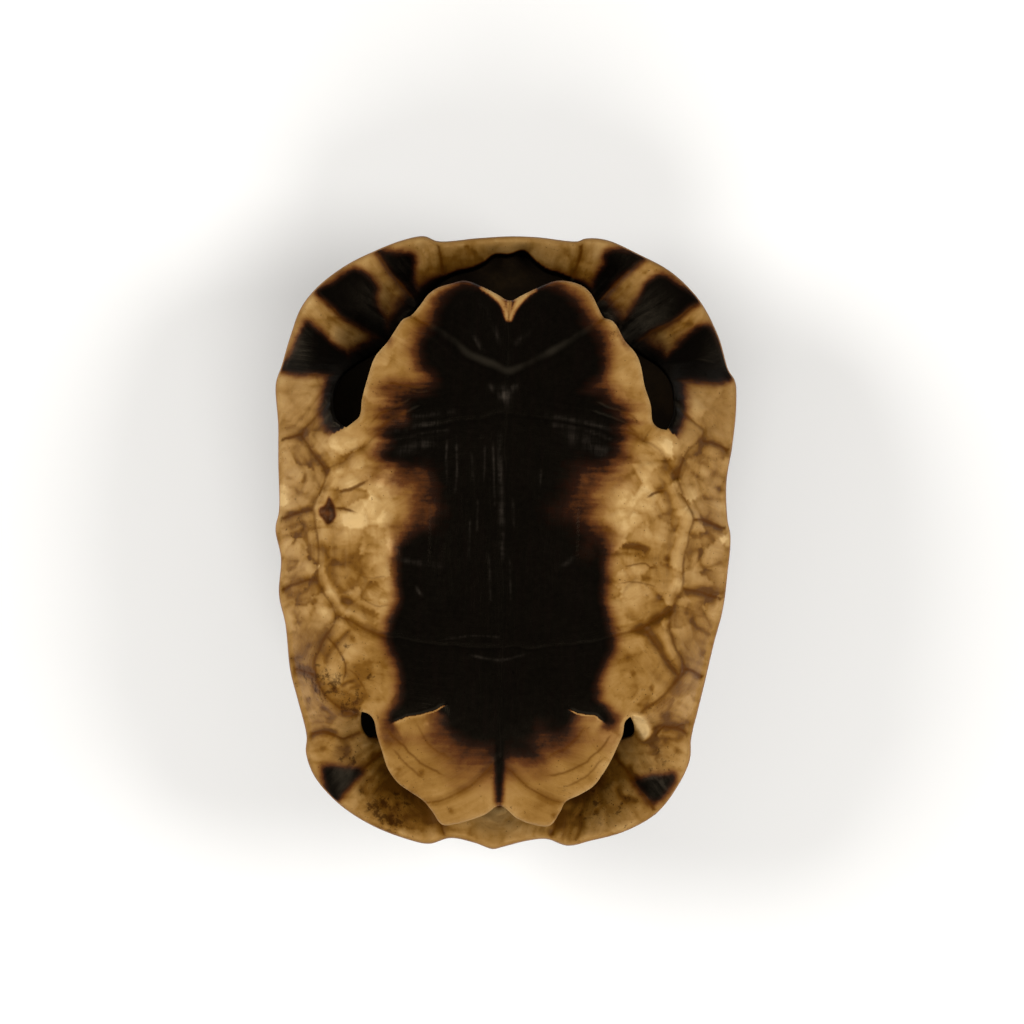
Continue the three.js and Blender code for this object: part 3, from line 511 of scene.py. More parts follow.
def bump(x, width):
    """1 at zero, falling off evenly on both sides."""
    return np.exp(-((x / width) ** 2))


def ends_fade(along, low, high, last=None):
    """Falls off towards both ends of a line."""
    return step_up(along, low, high) * step_up(along.max() - along, low, last or high)


def noise(points, size, seed):
    """Smooth noise between -1 and 1 with features of the given size, in three octaves."""
    total = 0
    for octave in range(3):
        q = np.asarray(points) * 2**octave / size + seed * 17.13
        cell = np.floor(q).astype(np.int64)
        f = q - cell
        f = f * f * (3 - 2 * f)

        def corner(i, j):
            n = ((cell[:, 0] + i) * 374761393 + (cell[:, 1] + j) * 668265263) & 0xFFFFFFFF
            n = ((n + seed * 144269 + octave) * 1274126177) & 0xFFFFFFFF
            n = ((n ^ (n >> 13)) * 1103515245) & 0xFFFFFFFF
            return ((n ^ (n >> 16)) & 0xFFFF) / 32767.5 - 1

        low = corner(0, 0) * (1 - f[:, 0]) + corner(1, 0) * f[:, 0]
        high = corner(0, 1) * (1 - f[:, 0]) + corner(1, 1) * f[:, 0]
        total = total + (low * (1 - f[:, 1]) + high * f[:, 1]) / 2**octave
    return total / 1.75


def facets(points, size, seed):
    """Crumpled facets: 0 in the creases between them to 1, each one's own tone, and its tilt."""
    q = np.asarray(points) / size + seed * 7.31
    cell = np.floor(q).astype(np.int64)
    first, second = np.full(len(q), 9.0), np.full(len(q), 9.0)
    own, tilt = np.zeros(len(q)), np.zeros(len(q))
    for i in (-1, 0, 1):
        for j in (-1, 0, 1):
            n = ((cell[:, 0] + i) * 73856093 + (cell[:, 1] + j) * 19349663 + seed * 83492791) & 0xFFFFFFFF
            n = ((n ^ (n >> 13)) * 1103515245) & 0xFFFFFFFF
            n = ((n ^ (n >> 15)) * 1274126177) & 0xFFFFFFFF
            spot = np.stack([(n & 0xFF) / 255, (n >> 8 & 0xFF) / 255], 1)
            gap = q - (cell + [i, j] + spot)
            far = np.linalg.norm(gap, axis=1)
            turn = (n >> 24 & 0xFF) / 255 * 2 * math.pi
            nearer = far < first
            second = np.where(nearer, first, np.minimum(second, far))
            own = np.where(nearer, (n >> 16 & 0xFF) / 127.5 - 1, own)
            tilt = np.where(nearer, gap[:, 0] * np.cos(turn) + gap[:, 1] * np.sin(turn), tilt)
            first = np.where(nearer, far, first)
    return step_up(second - first, 0, 0.35), own, tilt


def thin(points, gap):
    """Leaves out points that lie closer than the gap to an earlier one."""
    kept, cells = [], {}
    for x, y in points:
        cell = (math.floor(x / gap), math.floor(y / gap))
        around = [
            q for i in (-1, 0, 1) for j in (-1, 0, 1)
            for q in cells.get((cell[0] + i, cell[1] + j), ())
        ]
        if all((x - u) ** 2 + (y - v) ** 2 >= gap * gap for u, v in around):
            cells.setdefault(cell, []).append((x, y))
            kept.append((x, y))
    return np.array(kept).reshape(-1, 2)


def hexagonal(low, high, step):
    """A slightly shaken grid of even triangles over a box."""
    x, y = np.arange(low[0], high[0], step), np.arange(low[1], high[1], step * 0.866)
    grid = np.stack(np.meshgrid(x, y), -1)
    grid[1::2, :, 0] += step / 2
    grid += rng.uniform(-0.06, 0.06, grid.shape) * step
    return grid.reshape(-1, 2)


def fill(loops, lines, step, fine, band):
    """Triangles between the loops, small ones beside the lines. The loops' points come first."""
    loops = [np.asarray(loop, float)[:, :2] for loop in loops]

    def within(points):
        found = inside(points, loops[0])
        for hole in loops[1:]:
            found &= ~inside(points, hole)
        return found

    low, high = loops[0].min(0), loops[0].max(0)
    coarse = hexagonal(low, high, step)
    groups = [(coarse, step)]
    if lines:
        detail = hexagonal(low, high, fine)
        far, nearby = np.full(len(coarse), 1e9), np.full(len(detail), 1e9)
        for line in lines:
            far = np.minimum(far, near(coarse, line, band)[0])
            nearby = np.minimum(nearby, near(detail, line, band)[0])
        marks = thin(np.vstack([line[:, :2] for line in lines]), fine * 0.75)
        detail = detail[(nearby < band) & (nearby > fine * 0.5)]
        groups = [(marks, fine), (detail, fine), (coarse[far > band + step * 0.4], step)]
    inner = []
    for points, size in groups:
        points = points[within(points)]
        for loop in loops:
            points = points[near(points, loop, step * 2, closed=True)[0] > size * 0.55]
        inner.append(points)
    points = np.vstack([*loops, *inner])
    edges, first = [], 0
    for loop in loops:
        n = len(loop)
        edges += [(first + i, first + (i + 1) % n) for i in range(n)]
        first += n
    made = delaunay_2d_cdt([Vector(p) for p in points], edges, [], 0, 1e-7)
    back = np.array([came[0] for came in made[3]])
    triangles = back[np.array([list(face) for face in made[2]])]
    triangles = triangles[within(points[triangles].mean(1))]
    return points, triangles


# ------------------------------------------------------------------ the curves of the edges
BELLY_STEP = 1.12  # spacing of the surface points, on the belly and rim
BELLY_FINE = 0.6  # the same beside the seams
BELLY_BAND = 1.5  # how far the fine spacing reaches from a seam
DOME_STEP = 2.1
DOME_FINE = 1.05
DOME_BAND = 2.0
INSIDE_STEP = 4.2
EDGE_STEP = 1.3
LOBE_STEP = 1.2
BELLY_WALL = 5.2  # thickness of the plastron and its edges
DOME_WALL = 4.0

rim = spline(RIM, EDGE_STEP, closed=True)
lobe_front, lobe_rear = spline(FRONT_LOBE, LOBE_STEP), spline(REAR_LOBE, LOBE_STEP)
bridge_right, bridge_left, lip_front, lip_rear = (
    spline(line, EDGE_STEP) for line in (BRIDGE_RIGHT, BRIDGE_LEFT, FRONT_LIP, REAR_LIP)
)


def turn_of(points):
    """Turn from the head end, in degrees, the same on both sides."""
    return np.degrees(np.abs(np.arctan2(points[:, 0], points[:, 1])))


def crest_height(points):
    """Height of the rim's crest at the turn of each point."""
    turn = turn_of(points)
    turns, heights = np.array(CREST, float).T
    k = np.clip(np.searchsorted(turns, turn), 1, len(turns) - 1)
    share = step_up((turn - turns[k - 1]) / (turns[k] - turns[k - 1]), 0, 1)
    return heights[k - 1] * (1 - share) + heights[k] * share


def belly_height(p):
    """Height of the plastron without its relief."""
    x, y = p[:, 0], p[:, 1]
    hollow = 4 * np.exp(-((x / 42) ** 2) - (y / 62) ** 2)
    return (110 - hollow - 5 * step_up(y, 45, 112) - 6 * step_up(-y, 60, 120)
            - 5 * step_up(np.abs(x), 58, 84))


def normals(line, closed=False):
    """Unit normals to the right of a line's direction."""
    if closed:
        along = np.roll(line, -1, 0) - np.roll(line, 1, 0)
    else:
        along = np.gradient(line, axis=0)
    n = np.stack([along[:, 1], -along[:, 0]], 1)
    return n / np.linalg.norm(n, axis=1)[:, None]


def taper(line, reach):
    """Rises from 0 at both ends of a line to 1 within the reach."""
    run = run_of(line)
    return (step_up(run, 0, reach) * step_up(run[-1] - run, 0, reach))[:, None]


def edge_rows(line, height, rows):
    """The rows of a rounded edge: each (offset to the right of the line, drop)."""
    flat, across, share = line[:, :2], normals(line[:, :2]), taper(line, 6)
    return [np.column_stack([flat + across * offset * share, height - drop]) for offset, drop in rows]


# The lobe edges and the lips both have the plastron on their right.
LOBE_ROWS = [(1.1, 0), (0, 1.5), (0.5, 3.6), (3.4, BELLY_WALL)]
LIP_ROWS = [(0, 0), (0.9, 1.3), (0.7, 3.2), (-0.6, BELLY_WALL)]
RIM_ROWS = [(0, 0.03), (0.7, 0.008), (2.0, 0)]  # offset, and drop as a share of the height
front_lobe_rows = edge_rows(lobe_front, belly_height(lobe_front), LOBE_ROWS)
rear_lobe_rows = edge_rows(lobe_rear, belly_height(lobe_rear), LOBE_ROWS)
ends = belly_height(np.array([FRONT_LOBE[0], FRONT_LOBE[-1], REAR_LOBE[0], REAR_LOBE[-1]]))
lip_front[[0, -1], 2] = ends[:2]
lip_rear[[0, -1], 2] = ends[2:]
front_lip_rows = edge_rows(lip_front, lip_front[:, 2], LIP_ROWS)
rear_lip_rows = edge_rows(lip_rear, lip_rear[:, 2], LIP_ROWS)
for lobe, lip in ((front_lobe_rows, front_lip_rows), (rear_lobe_rows, rear_lip_rows)):
    for lobe_row, lip_row in zip(lobe, lip):
        lip_row[[0, -1]] = lobe_row[[0, -1]]


def bridge_inside(line):
    """The bridge line on the inside of the wall."""
    share = taper(line, 10)
    moved = line[:, :2] + normals(line) * 4.5 * share
    return np.column_stack([moved, belly_height(line) - BELLY_WALL])


right_inside, left_inside = bridge_inside(bridge_right), bridge_inside(bridge_left)
crest = crest_height(rim)
rim_rows = [
    np.column_stack([rim + normals(rim, True) * offset, crest * (1 - low)])
    for offset, low in RIM_ROWS
]


# ------------------------------------------------------------------ the dome
ANGLES = np.radians(np.arange(0, 360, 0.5))
SHARES = np.linspace(0, 1, 81)


def angle_of(points):
    return np.arctan2(points[:, 1], points[:, 0])


def direction(angle):
    return np.stack([np.cos(angle), np.sin(angle)], 1)


def by_angle(angle, values):
    """Values given at some angles, read at every one of ANGLES."""
    angle = angle % (2 * math.pi)
    order = np.argsort(angle)
    return np.interp(ANGLES, angle[order], values[order], period=2 * math.pi)


def at_angle(angle, values):
    """Values given at every one of ANGLES, read at any angle."""
    return np.interp(angle % (2 * math.pi), ANGLES, values, period=2 * math.pi)


def softened(values, degrees):
    """Values by angle, averaged over a few degrees."""
    n = int(degrees / 0.5)
    window = np.hanning(2 * n + 3)[1:-1]
    wrapped = np.concatenate([values[-n:], values, values[:n]])
    return np.convolve(wrapped, window / window.sum(), "valid")


def dome_table(inner):
    """Reach and height of the dome along each angle, at even shares of the way to its edge.

    With the reach and height of an inner edge at each angle, the inside of the wall is worked out.
    """
    reach = by_angle(angle_of(rim), np.hypot(*rim.T))
    even = softened(reach, 9)
    height = by_angle(angle_of(rim), crest)
    ahead = np.sin(ANGLES)[:, None, None]
    shape = {k: np.array(v, float)[None] for k, v in PROFILES.items()}
    front, rear = np.clip(ahead, 0, 1) ** 2, np.clip(-ahead, 0, 1) ** 2
    shape = front * shape["front"] + rear * shape["rear"] + (1 - front - rear) * shape["side"]
    table = np.zeros((len(ANGLES), len(SHARES), 2))
    lengths = np.zeros(len(ANGLES))
    for i, profile in enumerate(shape):
        line = np.vstack([[0, 0], [profile[0, 0] * 0.5, 0], profile])
        line = spline(line * [even[i], height[i]], 1.5)
        share = step_up(line[:, 0] / even[i], 0.86, 1.0)
        line[:, 0] += (reach[i] - even[i]) * share * line[:, 0] / even[i]
        if inner is not None:
            along = np.gradient(line, axis=0)
            along /= np.linalg.norm(along, axis=1)[:, None] + 1e-9
            line = line + np.stack([-along[:, 1], along[:, 0]], 1) * DOME_WALL
            line[0, 0] = 0
            line = line[line[:, 1] < min(inner[i, 1] - 8, 0.72 * height[i])]
            line = spline(np.vstack([line[::6], inner[i]]), 1.5)
        run = run_of(line)
        lengths[i] = run[-1]
        for k in (0, 1):
            table[i, :, k] = np.interp(SHARES * run[-1], run, line[:, k])
    return table, lengths


def read_table(table, angle, share):
    """Table values between its angles and shares."""
    a = (angle % (2 * math.pi)) / (2 * math.pi) * len(ANGLES)
    s = np.clip(share, 0, 1) * (len(SHARES) - 1)
    i, j = np.floor(a).astype(int) % len(ANGLES), np.minimum(np.floor(s).astype(int), len(SHARES) - 2)
    u, v = (a - np.floor(a))[:, None], (s - j)[:, None]
    i2 = (i + 1) % len(ANGLES)
    return ((table[i, j] * (1 - u) + table[i2, j] * u) * (1 - v)
            + (table[i, j + 1] * (1 - u) + table[i2, j + 1] * u) * v)


def unrolled(line, lengths):
    """A closed edge line laid out flat at its distance along the dome from the crown."""
    angle = angle_of(line)
    return direction(angle) * at_angle(angle, lengths)[:, None]


def onto_dome(points, table, lengths):
    """Places laid out flat, put back on the dome, with the outward normals."""
    angle = angle_of(points)
    share = np.hypot(*points.T) / at_angle(angle, lengths)
    r, z = read_table(table, angle, share).T
    along = read_table(table, angle, share + 0.01) - read_table(table, angle, share - 0.01)
    along /= np.linalg.norm(along, axis=1)[:, None] + 1e-9
    unit = direction(angle)
    placed = np.column_stack([unit * r[:, None], z])
    outward = np.column_stack([unit * along[:, 1:], -along[:, 0]])
    return placed, outward, share


# Seams of the dome on its flat layout, right half: the plates along the back, the big side plates.
BACK_SIDE = [
    (24, 126), (32, 104), (25, 82), (39, 55), (29, 30), (44, 3), (30, -26), (40, -54), (22, -82),
    (36, -104), (43, -119),
]
BACK_CROSS = [
    [(-25, 82), (0, 79), (25, 82)], [(-29, 30), (0, 27), (29, 30)], [(-30, -26), (0, -29), (30, -26)],
    [(-22, -82), (0, -84), (22, -82)],
]
SIDE_CROSS = [
    [(39, 55), (66, 67), (96, 83)], [(44, 3), (80, 2), (116, -2)], [(40, -54), (68, -66), (97, -84)],
]
# The pale middles of the dome's plates: across, along, radius.
EYES = [
    (0, 103, 9), (0, 54, 10), (0, 2, 10), (0, -53, 10), (0, -104, 8), (66, 92, 9), (76, 35, 11),
    (77, -31, 11), (62, -92, 9),
]
RIM_PLATES_REACH = 0.81  # where the rim plates begin, as a share of the way to the edge


def wavy(line, size, seed):
    """A line with the small wander of a grown seam."""
    line = np.asarray(line, float).copy()
    shift = np.stack([noise(line[:, :2], size, seed), noise(line[:, :2], size, seed + 5)], 1)
    line[:, :2] += shift * taper(line, 6) * 1.1
    return line


dome_shape, dome_lengths = dome_table(None)
layout_rim = unrolled(rim, dome_lengths)
ring = direction(ANGLES) * (dome_lengths * RIM_PLATES_REACH)[:, None]
ring *= 1 + 0.012 * noise(ring, 30, 3)[:, None]
dome_seams = [wavy(spline(line), 14, 2) for line in BACK_CROSS]
for side in (1, -1):
    for k, line in enumerate([BACK_SIDE, *SIDE_CROSS]):
        flipped = np.array(line, float) * [side, 1] + rng.uniform(-1.5, 1.5, (len(line), 2))
        line = wavy(spline(flipped), 14, 7 + k + side)
        ring_reach = at_angle(angle_of(line), np.hypot(*ring.T))
        dome_seams.append(line[np.hypot(*line.T) < ring_reach + 0.5])
dome_seams.append(np.vstack([ring, ring[:1]])[::4])
for seam in RIM_SEAMS_LEFT + RIM_SEAMS_RIGHT:
    angle = math.atan2(seam[0][1], seam[0][0])
    out = np.array([math.cos(angle), math.sin(angle)]) * at_angle(angle, dome_lengths)
    dome_seams.append(wavy(spline([out, out * 0.9, out * RIM_PLATES_REACH]), 14, 4))

# ------------------------------------------------------------------ the belly's lines
belly_lines = {
    name: (wavy(spline(line), 9, 20 + k), *rest)
    for k, (name, (line, *rest)) in enumerate(BELLY_SEAMS.items())
}
rim_lines = [wavy(spline(line), 9, 40) for line in RIM_SEAMS_LEFT + RIM_SEAMS_RIGHT]
crack_lines = [(wavy(spline(line, MARK_STEP), 5, 60), *rest) for line, *rest in CRACKS]
crease_lines = [(spline(line, MARK_STEP), *rest) for line, *rest in CREASES]
stroke_lines = [(spline(line, MARK_STEP), *rest) for line, *rest in PALE_STROKES]
dust_lines = [(spline(line), *rest) for line, *rest in DUST]
step_lines = [wavy(spline(line, MARK_STEP), 7, 70) for line in STEPS]
hole_line = spline(HOLE, MARK_STEP, closed=True)
# The mesh is fine beside these.
fine_lines = [
    *[line for line, *_ in belly_lines.values()], *rim_lines, *[line for line, *_ in crack_lines],
    *step_lines, hole_line,
    *[line for line, width, _ in crease_lines if width < 1.5],
    *[line for line, width, _ in dust_lines if width < 0.7],
]

# ------------------------------------------------------------------ joining the sheets
places = []  # one array of points for each sheet or row, in the order they are numbered
faces = []
total = 0


def number(points):
    """Adds points and gives their numbers."""
    global total
    ids = np.arange(total, total + len(points))
    places.append(np.asarray(points, float))
    total += len(points)
    return ids


def sheet(loop_ids, points, triangles):
    """Adds a sheet whose first points are already numbered."""
    ids = np.concatenate([loop_ids, number(points[len(loop_ids):])])
    faces.append(ids[triangles])
    return ids


def strip(a, b, closed=False):
    """Triangles between two rows of the same length."""
    a2, b2 = (np.roll(a, -1), np.roll(b, -1)) if closed else (a[1:], b[1:])
    a1, b1 = (a, b) if closed else (a[:-1], b[:-1])
    faces.append(np.column_stack([a1, a2, b2]))
    faces.append(np.column_stack([a1, b2, b1]))


rim_ids = [number(row) for row in rim_rows]
for a, b in zip(rim_ids, rim_ids[1:]):
    strip(a, b, closed=True)


def opening(lobe_rows, lip_rows):
    """The edge rows of one opening. The lobe and the lip share their end columns."""
    lobe_ids, lip_ids = [], []
    for lobe, lip in zip(lobe_rows, lip_rows):
        ids = number(lobe)
        lobe_ids.append(ids)
        lip_ids.append(np.concatenate([ids[:1], number(lip[1:-1]), ids[-1:]]))
    for rows in (lobe_ids, lip_ids):
        for a, b in zip(rows, rows[1:]):
            keep = a != b
            strip(a[keep], b[keep])
    return lobe_ids, lip_ids


front_lobe_ids, front_lip_ids = opening(front_lobe_rows, front_lip_rows)
rear_lobe_ids, rear_lip_ids = opening(rear_lobe_rows, rear_lip_rows)


def between(line, height, first, last):
    """Numbers a bridge line between two corners that are numbered already."""
    body = number(np.column_stack([line[1:-1, :2], height[1:-1]]))
    return np.concatenate([[first], body, [last]])


right_ids = between(bridge_right, belly_height(bridge_right), front_lobe_ids[0][-1], rear_lobe_ids[0][0])
left_ids = between(bridge_left, belly_height(bridge_left), rear_lobe_ids[0][-1], front_lobe_ids[0][0])
right_in_ids = between(right_inside, right_inside[:, 2], front_lobe_ids[-1][-1], rear_lobe_ids[-1][0])
left_in_ids = between(left_inside, left_inside[:, 2], rear_lobe_ids[-1][-1], front_lobe_ids[-1][0])


def joined(*parts):
    """One loop of rows that share their ends."""
    return np.concatenate([part[:-1] for part in parts])


def position(ids):
    return np.vstack(places)[ids]


# The plastron.
loop = joined(front_lobe_ids[0], right_ids, rear_lobe_ids[0], left_ids)
flat, triangles = fill([position(loop)], fine_lines, BELLY_STEP, BELLY_FINE, BELLY_BAND)
belly_ids = sheet(loop, np.column_stack([flat, belly_height(flat)]), triangles)

# The underside of the rim plates.
hole = joined(front_lip_ids[0], right_ids, rear_lip_ids[0], left_ids)
outer, inner = position(rim_ids[-1]), position(hole)
flat, triangles = fill([outer, inner], fine_lines, BELLY_STEP, BELLY_FINE, BELLY_BAND)


def spread(points, line):
    """The heights of a line, spread smoothly over the points beside it."""
    heights = np.zeros(len(points))
    for ids in chunks(points, len(line)):
        gap = points[ids][:, None] - line[:, :2]
        weight = 1 / ((gap**2).sum(-1) + 0.3) ** 2.5
        heights[ids] = (weight * line[:, 2]).sum(1) / weight.sum(1)
    return heights


to_rim = near(flat, outer, closed=True)[0]
to_lip = near(flat, inner, closed=True)[0]
share = to_rim / (to_rim + to_lip + 1e-9)
height = spread(flat, outer) * (1 - share) + spread(flat, inner) * share + 6 * share * (1 - share)
under_ids = sheet(np.concatenate([rim_ids[-1], hole]), np.column_stack([flat, height]), triangles)

# The dome.
flat_dome, triangles = fill([layout_rim], dome_seams, DOME_STEP, DOME_FINE, DOME_BAND)
placed, outward, dome_share = onto_dome(flat_dome, dome_shape, dome_lengths)
dome_ids = sheet(rim_ids[0], placed, triangles)

# The inside of the plastron.
loop = joined(front_lobe_ids[-1], right_in_ids, rear_lobe_ids[-1], left_in_ids)
flat, triangles = fill([position(loop)], [], INSIDE_STEP, 0, 0)
ridge = 0.9 * bump(flat[:, 0], 5) + 0.35 * noise(flat, 16, 31)
belly_in_ids = sheet(loop, np.column_stack([flat, belly_height(flat) - BELLY_WALL - ridge]), triangles)

# The inside of the dome, laid out flat in the same way as its outside. Where its edge doubles back
# the angle is held, so that the flat loop goes round once and doesn't cross itself.
ONCE_ROUND = 2 * math.pi - 0.004
loop = joined(front_lip_ids[-1], right_in_ids, rear_lip_ids[-1], left_in_ids)
edge = position(loop)
angle = -np.unwrap(angle_of(edge))
passed = np.maximum.accumulate(angle) + np.linspace(0, 0.02, len(angle))
passed = passed - passed[0]
turned = -(angle[0] + passed * ONCE_ROUND / max(ONCE_ROUND, passed[-1]))
inner_edge = [by_angle(turned, np.hypot(*edge[:, :2].T)), by_angle(turned, edge[:, 2])]
in_shape, in_lengths = dome_table(np.stack(inner_edge, 1))
layout = direction(turned) * at_angle(turned, in_lengths)[:, None]
flat, triangles = fill([layout], [], INSIDE_STEP, 0, 0)
placed, normal, _ = onto_dome(flat, in_shape, in_lengths)
ribs = 0.5 * np.cos(flat[:, 1] / 3.6) * step_up(np.abs(flat[:, 0]), 12, 30)
ridge = 1.4 * bump(flat[:, 0], 5) + ribs + 0.3 * noise(flat, 14, 33)
dome_in_ids = sheet(loop, placed - normal * ridge[:, None] * 0.6, triangles)

vertices = np.vstack(places)
triangles = np.vstack(faces)
base = vertices.copy()

# ------------------------------------------------------------------ relief and colour fields
DEEPEST_INK = 3.0  # the pigment and painted-shade field is held between this and its negative
SEAM_REACH = 40  # distances to seams are held at this
RIM_SEAM = (0.6, 0.8, 1.0)  # groove depth, groove width, darkness
RING_GAP = 3.1  # growth rings, and the finer ones between them
FINE_RING_GAP = 1.7
DOME_RING_GAP = 3.4
count = len(vertices)
ink_and_shade = np.full(count, -DEEPEST_INK)  # pigment, with painted shade under the rim and painted light at some edges: above 0 is dark, the unit is the softness of its edge
line_mark = np.zeros(count)  # seams and cracks
plate = np.full(count, 6.0)  # distance to the plate's nearest seam
# The tone also carries painted light and shade: highlights on edges and ridges, shade in valleys and deep
# under the rim.
tone = np.zeros(count)  # paler above 0, darker below
dirt = np.zeros(count)
bone = np.zeros(count)  # 1 on the inside, where there is no horn
back = np.zeros(count)  # 1 on the dome
dust = np.zeros(count)  # grey wear in the black

rim_side = np.concatenate([under_ids, front_lip_ids[1], rear_lip_ids[1]])
ids = np.unique(np.concatenate([belly_ids, rim_side, rim_ids[1], front_lobe_ids[1], rear_lobe_ids[1]]))
p = base[ids, :2]
on_rim = np.isin(ids, rim_side) & ~np.isin(ids, belly_ids)
x, y = p[:, 0], p[:, 1]
lift = np.zeros(len(ids))
marks = np.zeros(len(ids))
seam = np.full(len(ids), 1e9)
# Pigment.
fringe = 1.1 * noise(p * [0.3, 1], 5, 21) + 1.2 * noise(p, 9, 22)
softness = np.interp(y, *np.array(BAND_SOFTNESS, float).T)
band = (depth_in(p, spline(BAND, closed=True)) + fringe * softness / 4 + 0.8) / softness
streaks = np.interp(y, [20, 32, 40, 62, 70, 78], [0, 1, 1, 1, 0.4, 0])
band += streaks * 0.5 * noise(p * [0.12, 1], 3.2, 23)
for line, width, strength in PALE_LINES:
    distance = near(p, spline(line), 8)[0]
    broken = 1.05 + 0.15 * noise(p, 5, 69)
    band = np.minimum(band, DEEPEST_INK - strength * broken * bump(distance, width))
    tone[ids] += 0.45 * bump(distance, width)
for cx, cy, radius, amount in THIN:
    distance = np.hypot(x - cx + 3 * noise(p, 9, 70), y - cy + 3 * noise(p, 9, 71))
    thinner = 3 - 1.9 * step_up(2.4 * radius - distance, 0, radius) + 0.2 * noise(p * [1, 0.4], 4, 72)
    band = np.minimum(band, thinner) - amount * bump(distance, radius) * step_up(band, -0.2, 0.8)
for cx, cy, radius, level in STAINS:
    distance = np.hypot(0.7 * (x - cx + 2 * noise(p, 7, 75)), y - cy + 1.5 * noise(p, 7, 76))
    stained = step_up(1.4 * radius - distance, 0, 1.1 * radius)
    band = np.maximum(band, -DEEPEST_INK + (DEEPEST_INK + level) * stained)
dark = band
for wedge in WEDGES:
    depth = depth_in(p, spline(wedge, closed=True))
    dark = np.maximum(dark, (depth + 0.9 * noise(p, 5, 24)) / WEDGE_SOFTNESS)
tail = near(p, [(-0.3, -82.0), (-0.2, -111.0)], 12)
width = np.interp(tail[2], [0, 12, 29], [3.4, 2.2, 0.6])
dark = np.maximum(dark, (width - tail[0]) / 1.6)
pale_here = 1 - step_up(dark, -0.8, 0.6)

seams = [(*row, True) for row in belly_lines.values()]
seams += [(line, *RIM_SEAM, on_rim) for line in rim_lines]
for line, depth, width, strength, where in seams:
    distance = np.where(where, near(p, line, 30)[0], 1e9)
    crisp = 1 + 0.25 * noise(p, 6, 9)
    light = 0.4 + 0.6 * pale_here
    lift -= 0.6 * depth * bump(distance, width * crisp) * light
    lift += depth * 0.3 * bump(distance - 2.4, 1.2) * light
    core = 0.75 + 0.25 * step_up(noise(p, 13, 8), -0.3, 0.4)
    marks = np.maximum(marks, strength * core * bump(distance, width * crisp) * light)
    # The broad darker valley beside each seam is painted shade. The seam's own dark line is its colour.
    valley = 0.8 + 0.3 * noise(p, 11, 6)
    tone[ids] -= 0.85 * strength * valley * bump(distance, 2.2) * light
    lift -= 0.3 * valley * bump(distance, 2.4) * light
    seam = np.minimum(seam, distance)
broken = np.clip(0.5 + 0.45 * noise(p, 9, 77), 0.15, 0.8)
marks = np.maximum(marks, broken * bump(near(p, belly_lines["gular"][0], 8)[0], 2.0) * (1 - pale_here))
for line, depth, width, strength in crack_lines:
    distance, side, along = near(p, line, 4)
    faded = ends_fade(along, -1.5, 3.5, 5)
    lift -= 0.5 * depth * faded * bump(distance, width)
    lift += 0.3 * depth * faded * bump(distance - 1.0, 0.9) * (side > 0)
    darkness = min(1.0, 1.5 * strength) * faded
    marks = np.maximum(marks, darkness * bump(distance, width * (0.7 + 0.8 * faded)))
    tone[ids] -= 0.25 * strength * bump(distance, 1.8)

# Growth rings run parallel to the seams and fade towards the worn middle of each plate.
wander = seam + 0.9 * noise(p, 9, 12)
rings = np.sin(wander * 2 * math.pi / RING_GAP) + 0.5 * np.sin(wander * 2 * math.pi / FINE_RING_GAP + 1)
worn = bump(np.minimum(seam, SEAM_REACH), 16) * (0.65 + 0.5 * noise(p, 20, 14))
middle = step_up(np.abs(x), 4, 20)
lift += rings * 0.085 * worn * (0.2 + 0.8 * middle)
lift += 0.25 * noise(p, 12, 15) + 0.10 * noise(p, 4, 16)
on_side = step_up(np.abs(x), 40, 50) * step_up(48 - np.abs(y - 4), 0, 12)
lift += on_side * (0.45 * noise(p, 8, 27) - 0.35 * np.abs(noise(p * [0.6, 1], 7, 28)))
# Crumpled facets, each with its own tone: painted light and shade make each one lighter on one side and
# darker on the other with its tilt, and darken the creases between them.
bent = p + 2.6 * np.stack([noise(p, 13, 65), noise(p, 13, 66)], 1)
elsewhere = 0.5 * on_rim + 0.4 * step_up(np.abs(x), 36, 46) * ~on_rim
for size, share in ((13.0, 1.0), (7.0, 0.5)):
    swollen, own, tilt = facets(bent * [1, 1.15], size, 67)
    place = np.maximum(on_side, elsewhere) * pale_here * share
    tone[ids] += place * (0.25 * own + 0.7 * tilt + 0.35 * (swollen - 0.6))
    lift += place * (0.35 + 1.1 * tilt) * swollen
tone[ids] += on_side * (0.4 * noise(p, 10, 27) + 0.12 * noise(p, 4, 29) + 0.2)
for gap, strength in ((4.6, 0.5), (7.6, 0.4)):
    patchy = step_up(noise(p, 11, 30 + int(gap)), -0.1, 0.4) * on_rim
    around = bump(seam - gap - 1.6 * noise(p, 8, 34), 1.0) * patchy
    lift -= 0.35 * around
    tone[ids] -= strength * around
for line, width, strength in crease_lines:
    distance, _, along = near(p, line, 4 * width + 2)
    faded = ends_fade(along, -0.6, 1.2 * width)
    crease = strength * bump(distance, width * (1 + 0.3 * noise(p, 4, 62))) * faded
    tone[ids] -= 0.9 * crease
    marks = np.maximum(marks, 0.5 * np.clip(crease - 0.6, 0, 1))
    lift -= 0.22 * crease
    lift += 0.15 * strength * bump(distance - 2.2 * width, width) * faded
for cx, cy, radius, strength in SPOTS:
    pit = strength * bump(np.hypot(x - cx, (y - cy) * 0.85) * (1 + 0.25 * noise(p, 3, 63)), radius)
    tone[ids] -= 0.8 * pit
    marks = np.maximum(marks, 0.6 * np.clip(pit - 0.25, 0, 1))
    lift -= 0.2 * pit
# Painted highlights on the low ridges of the pale strokes.
for line, width, strength in stroke_lines:
    stroke = strength * bump(near(p, line, 4 * width + 2)[0], width * (1 + 0.25 * noise(p, 5, 64)))
    tone[ids] += 0.55 * stroke
    lift += 0.25 * stroke
for cx, cy, radius, rise, paler in LUMPS:
    distance = np.hypot(x - cx + 1.5 * noise(p, 8, 17), y - cy + 1.5 * noise(p, 8, 18))
    swell = bump(distance, radius * 0.8)
    lift += rise * swell
    tone[ids] += paler * 1.5 * swell
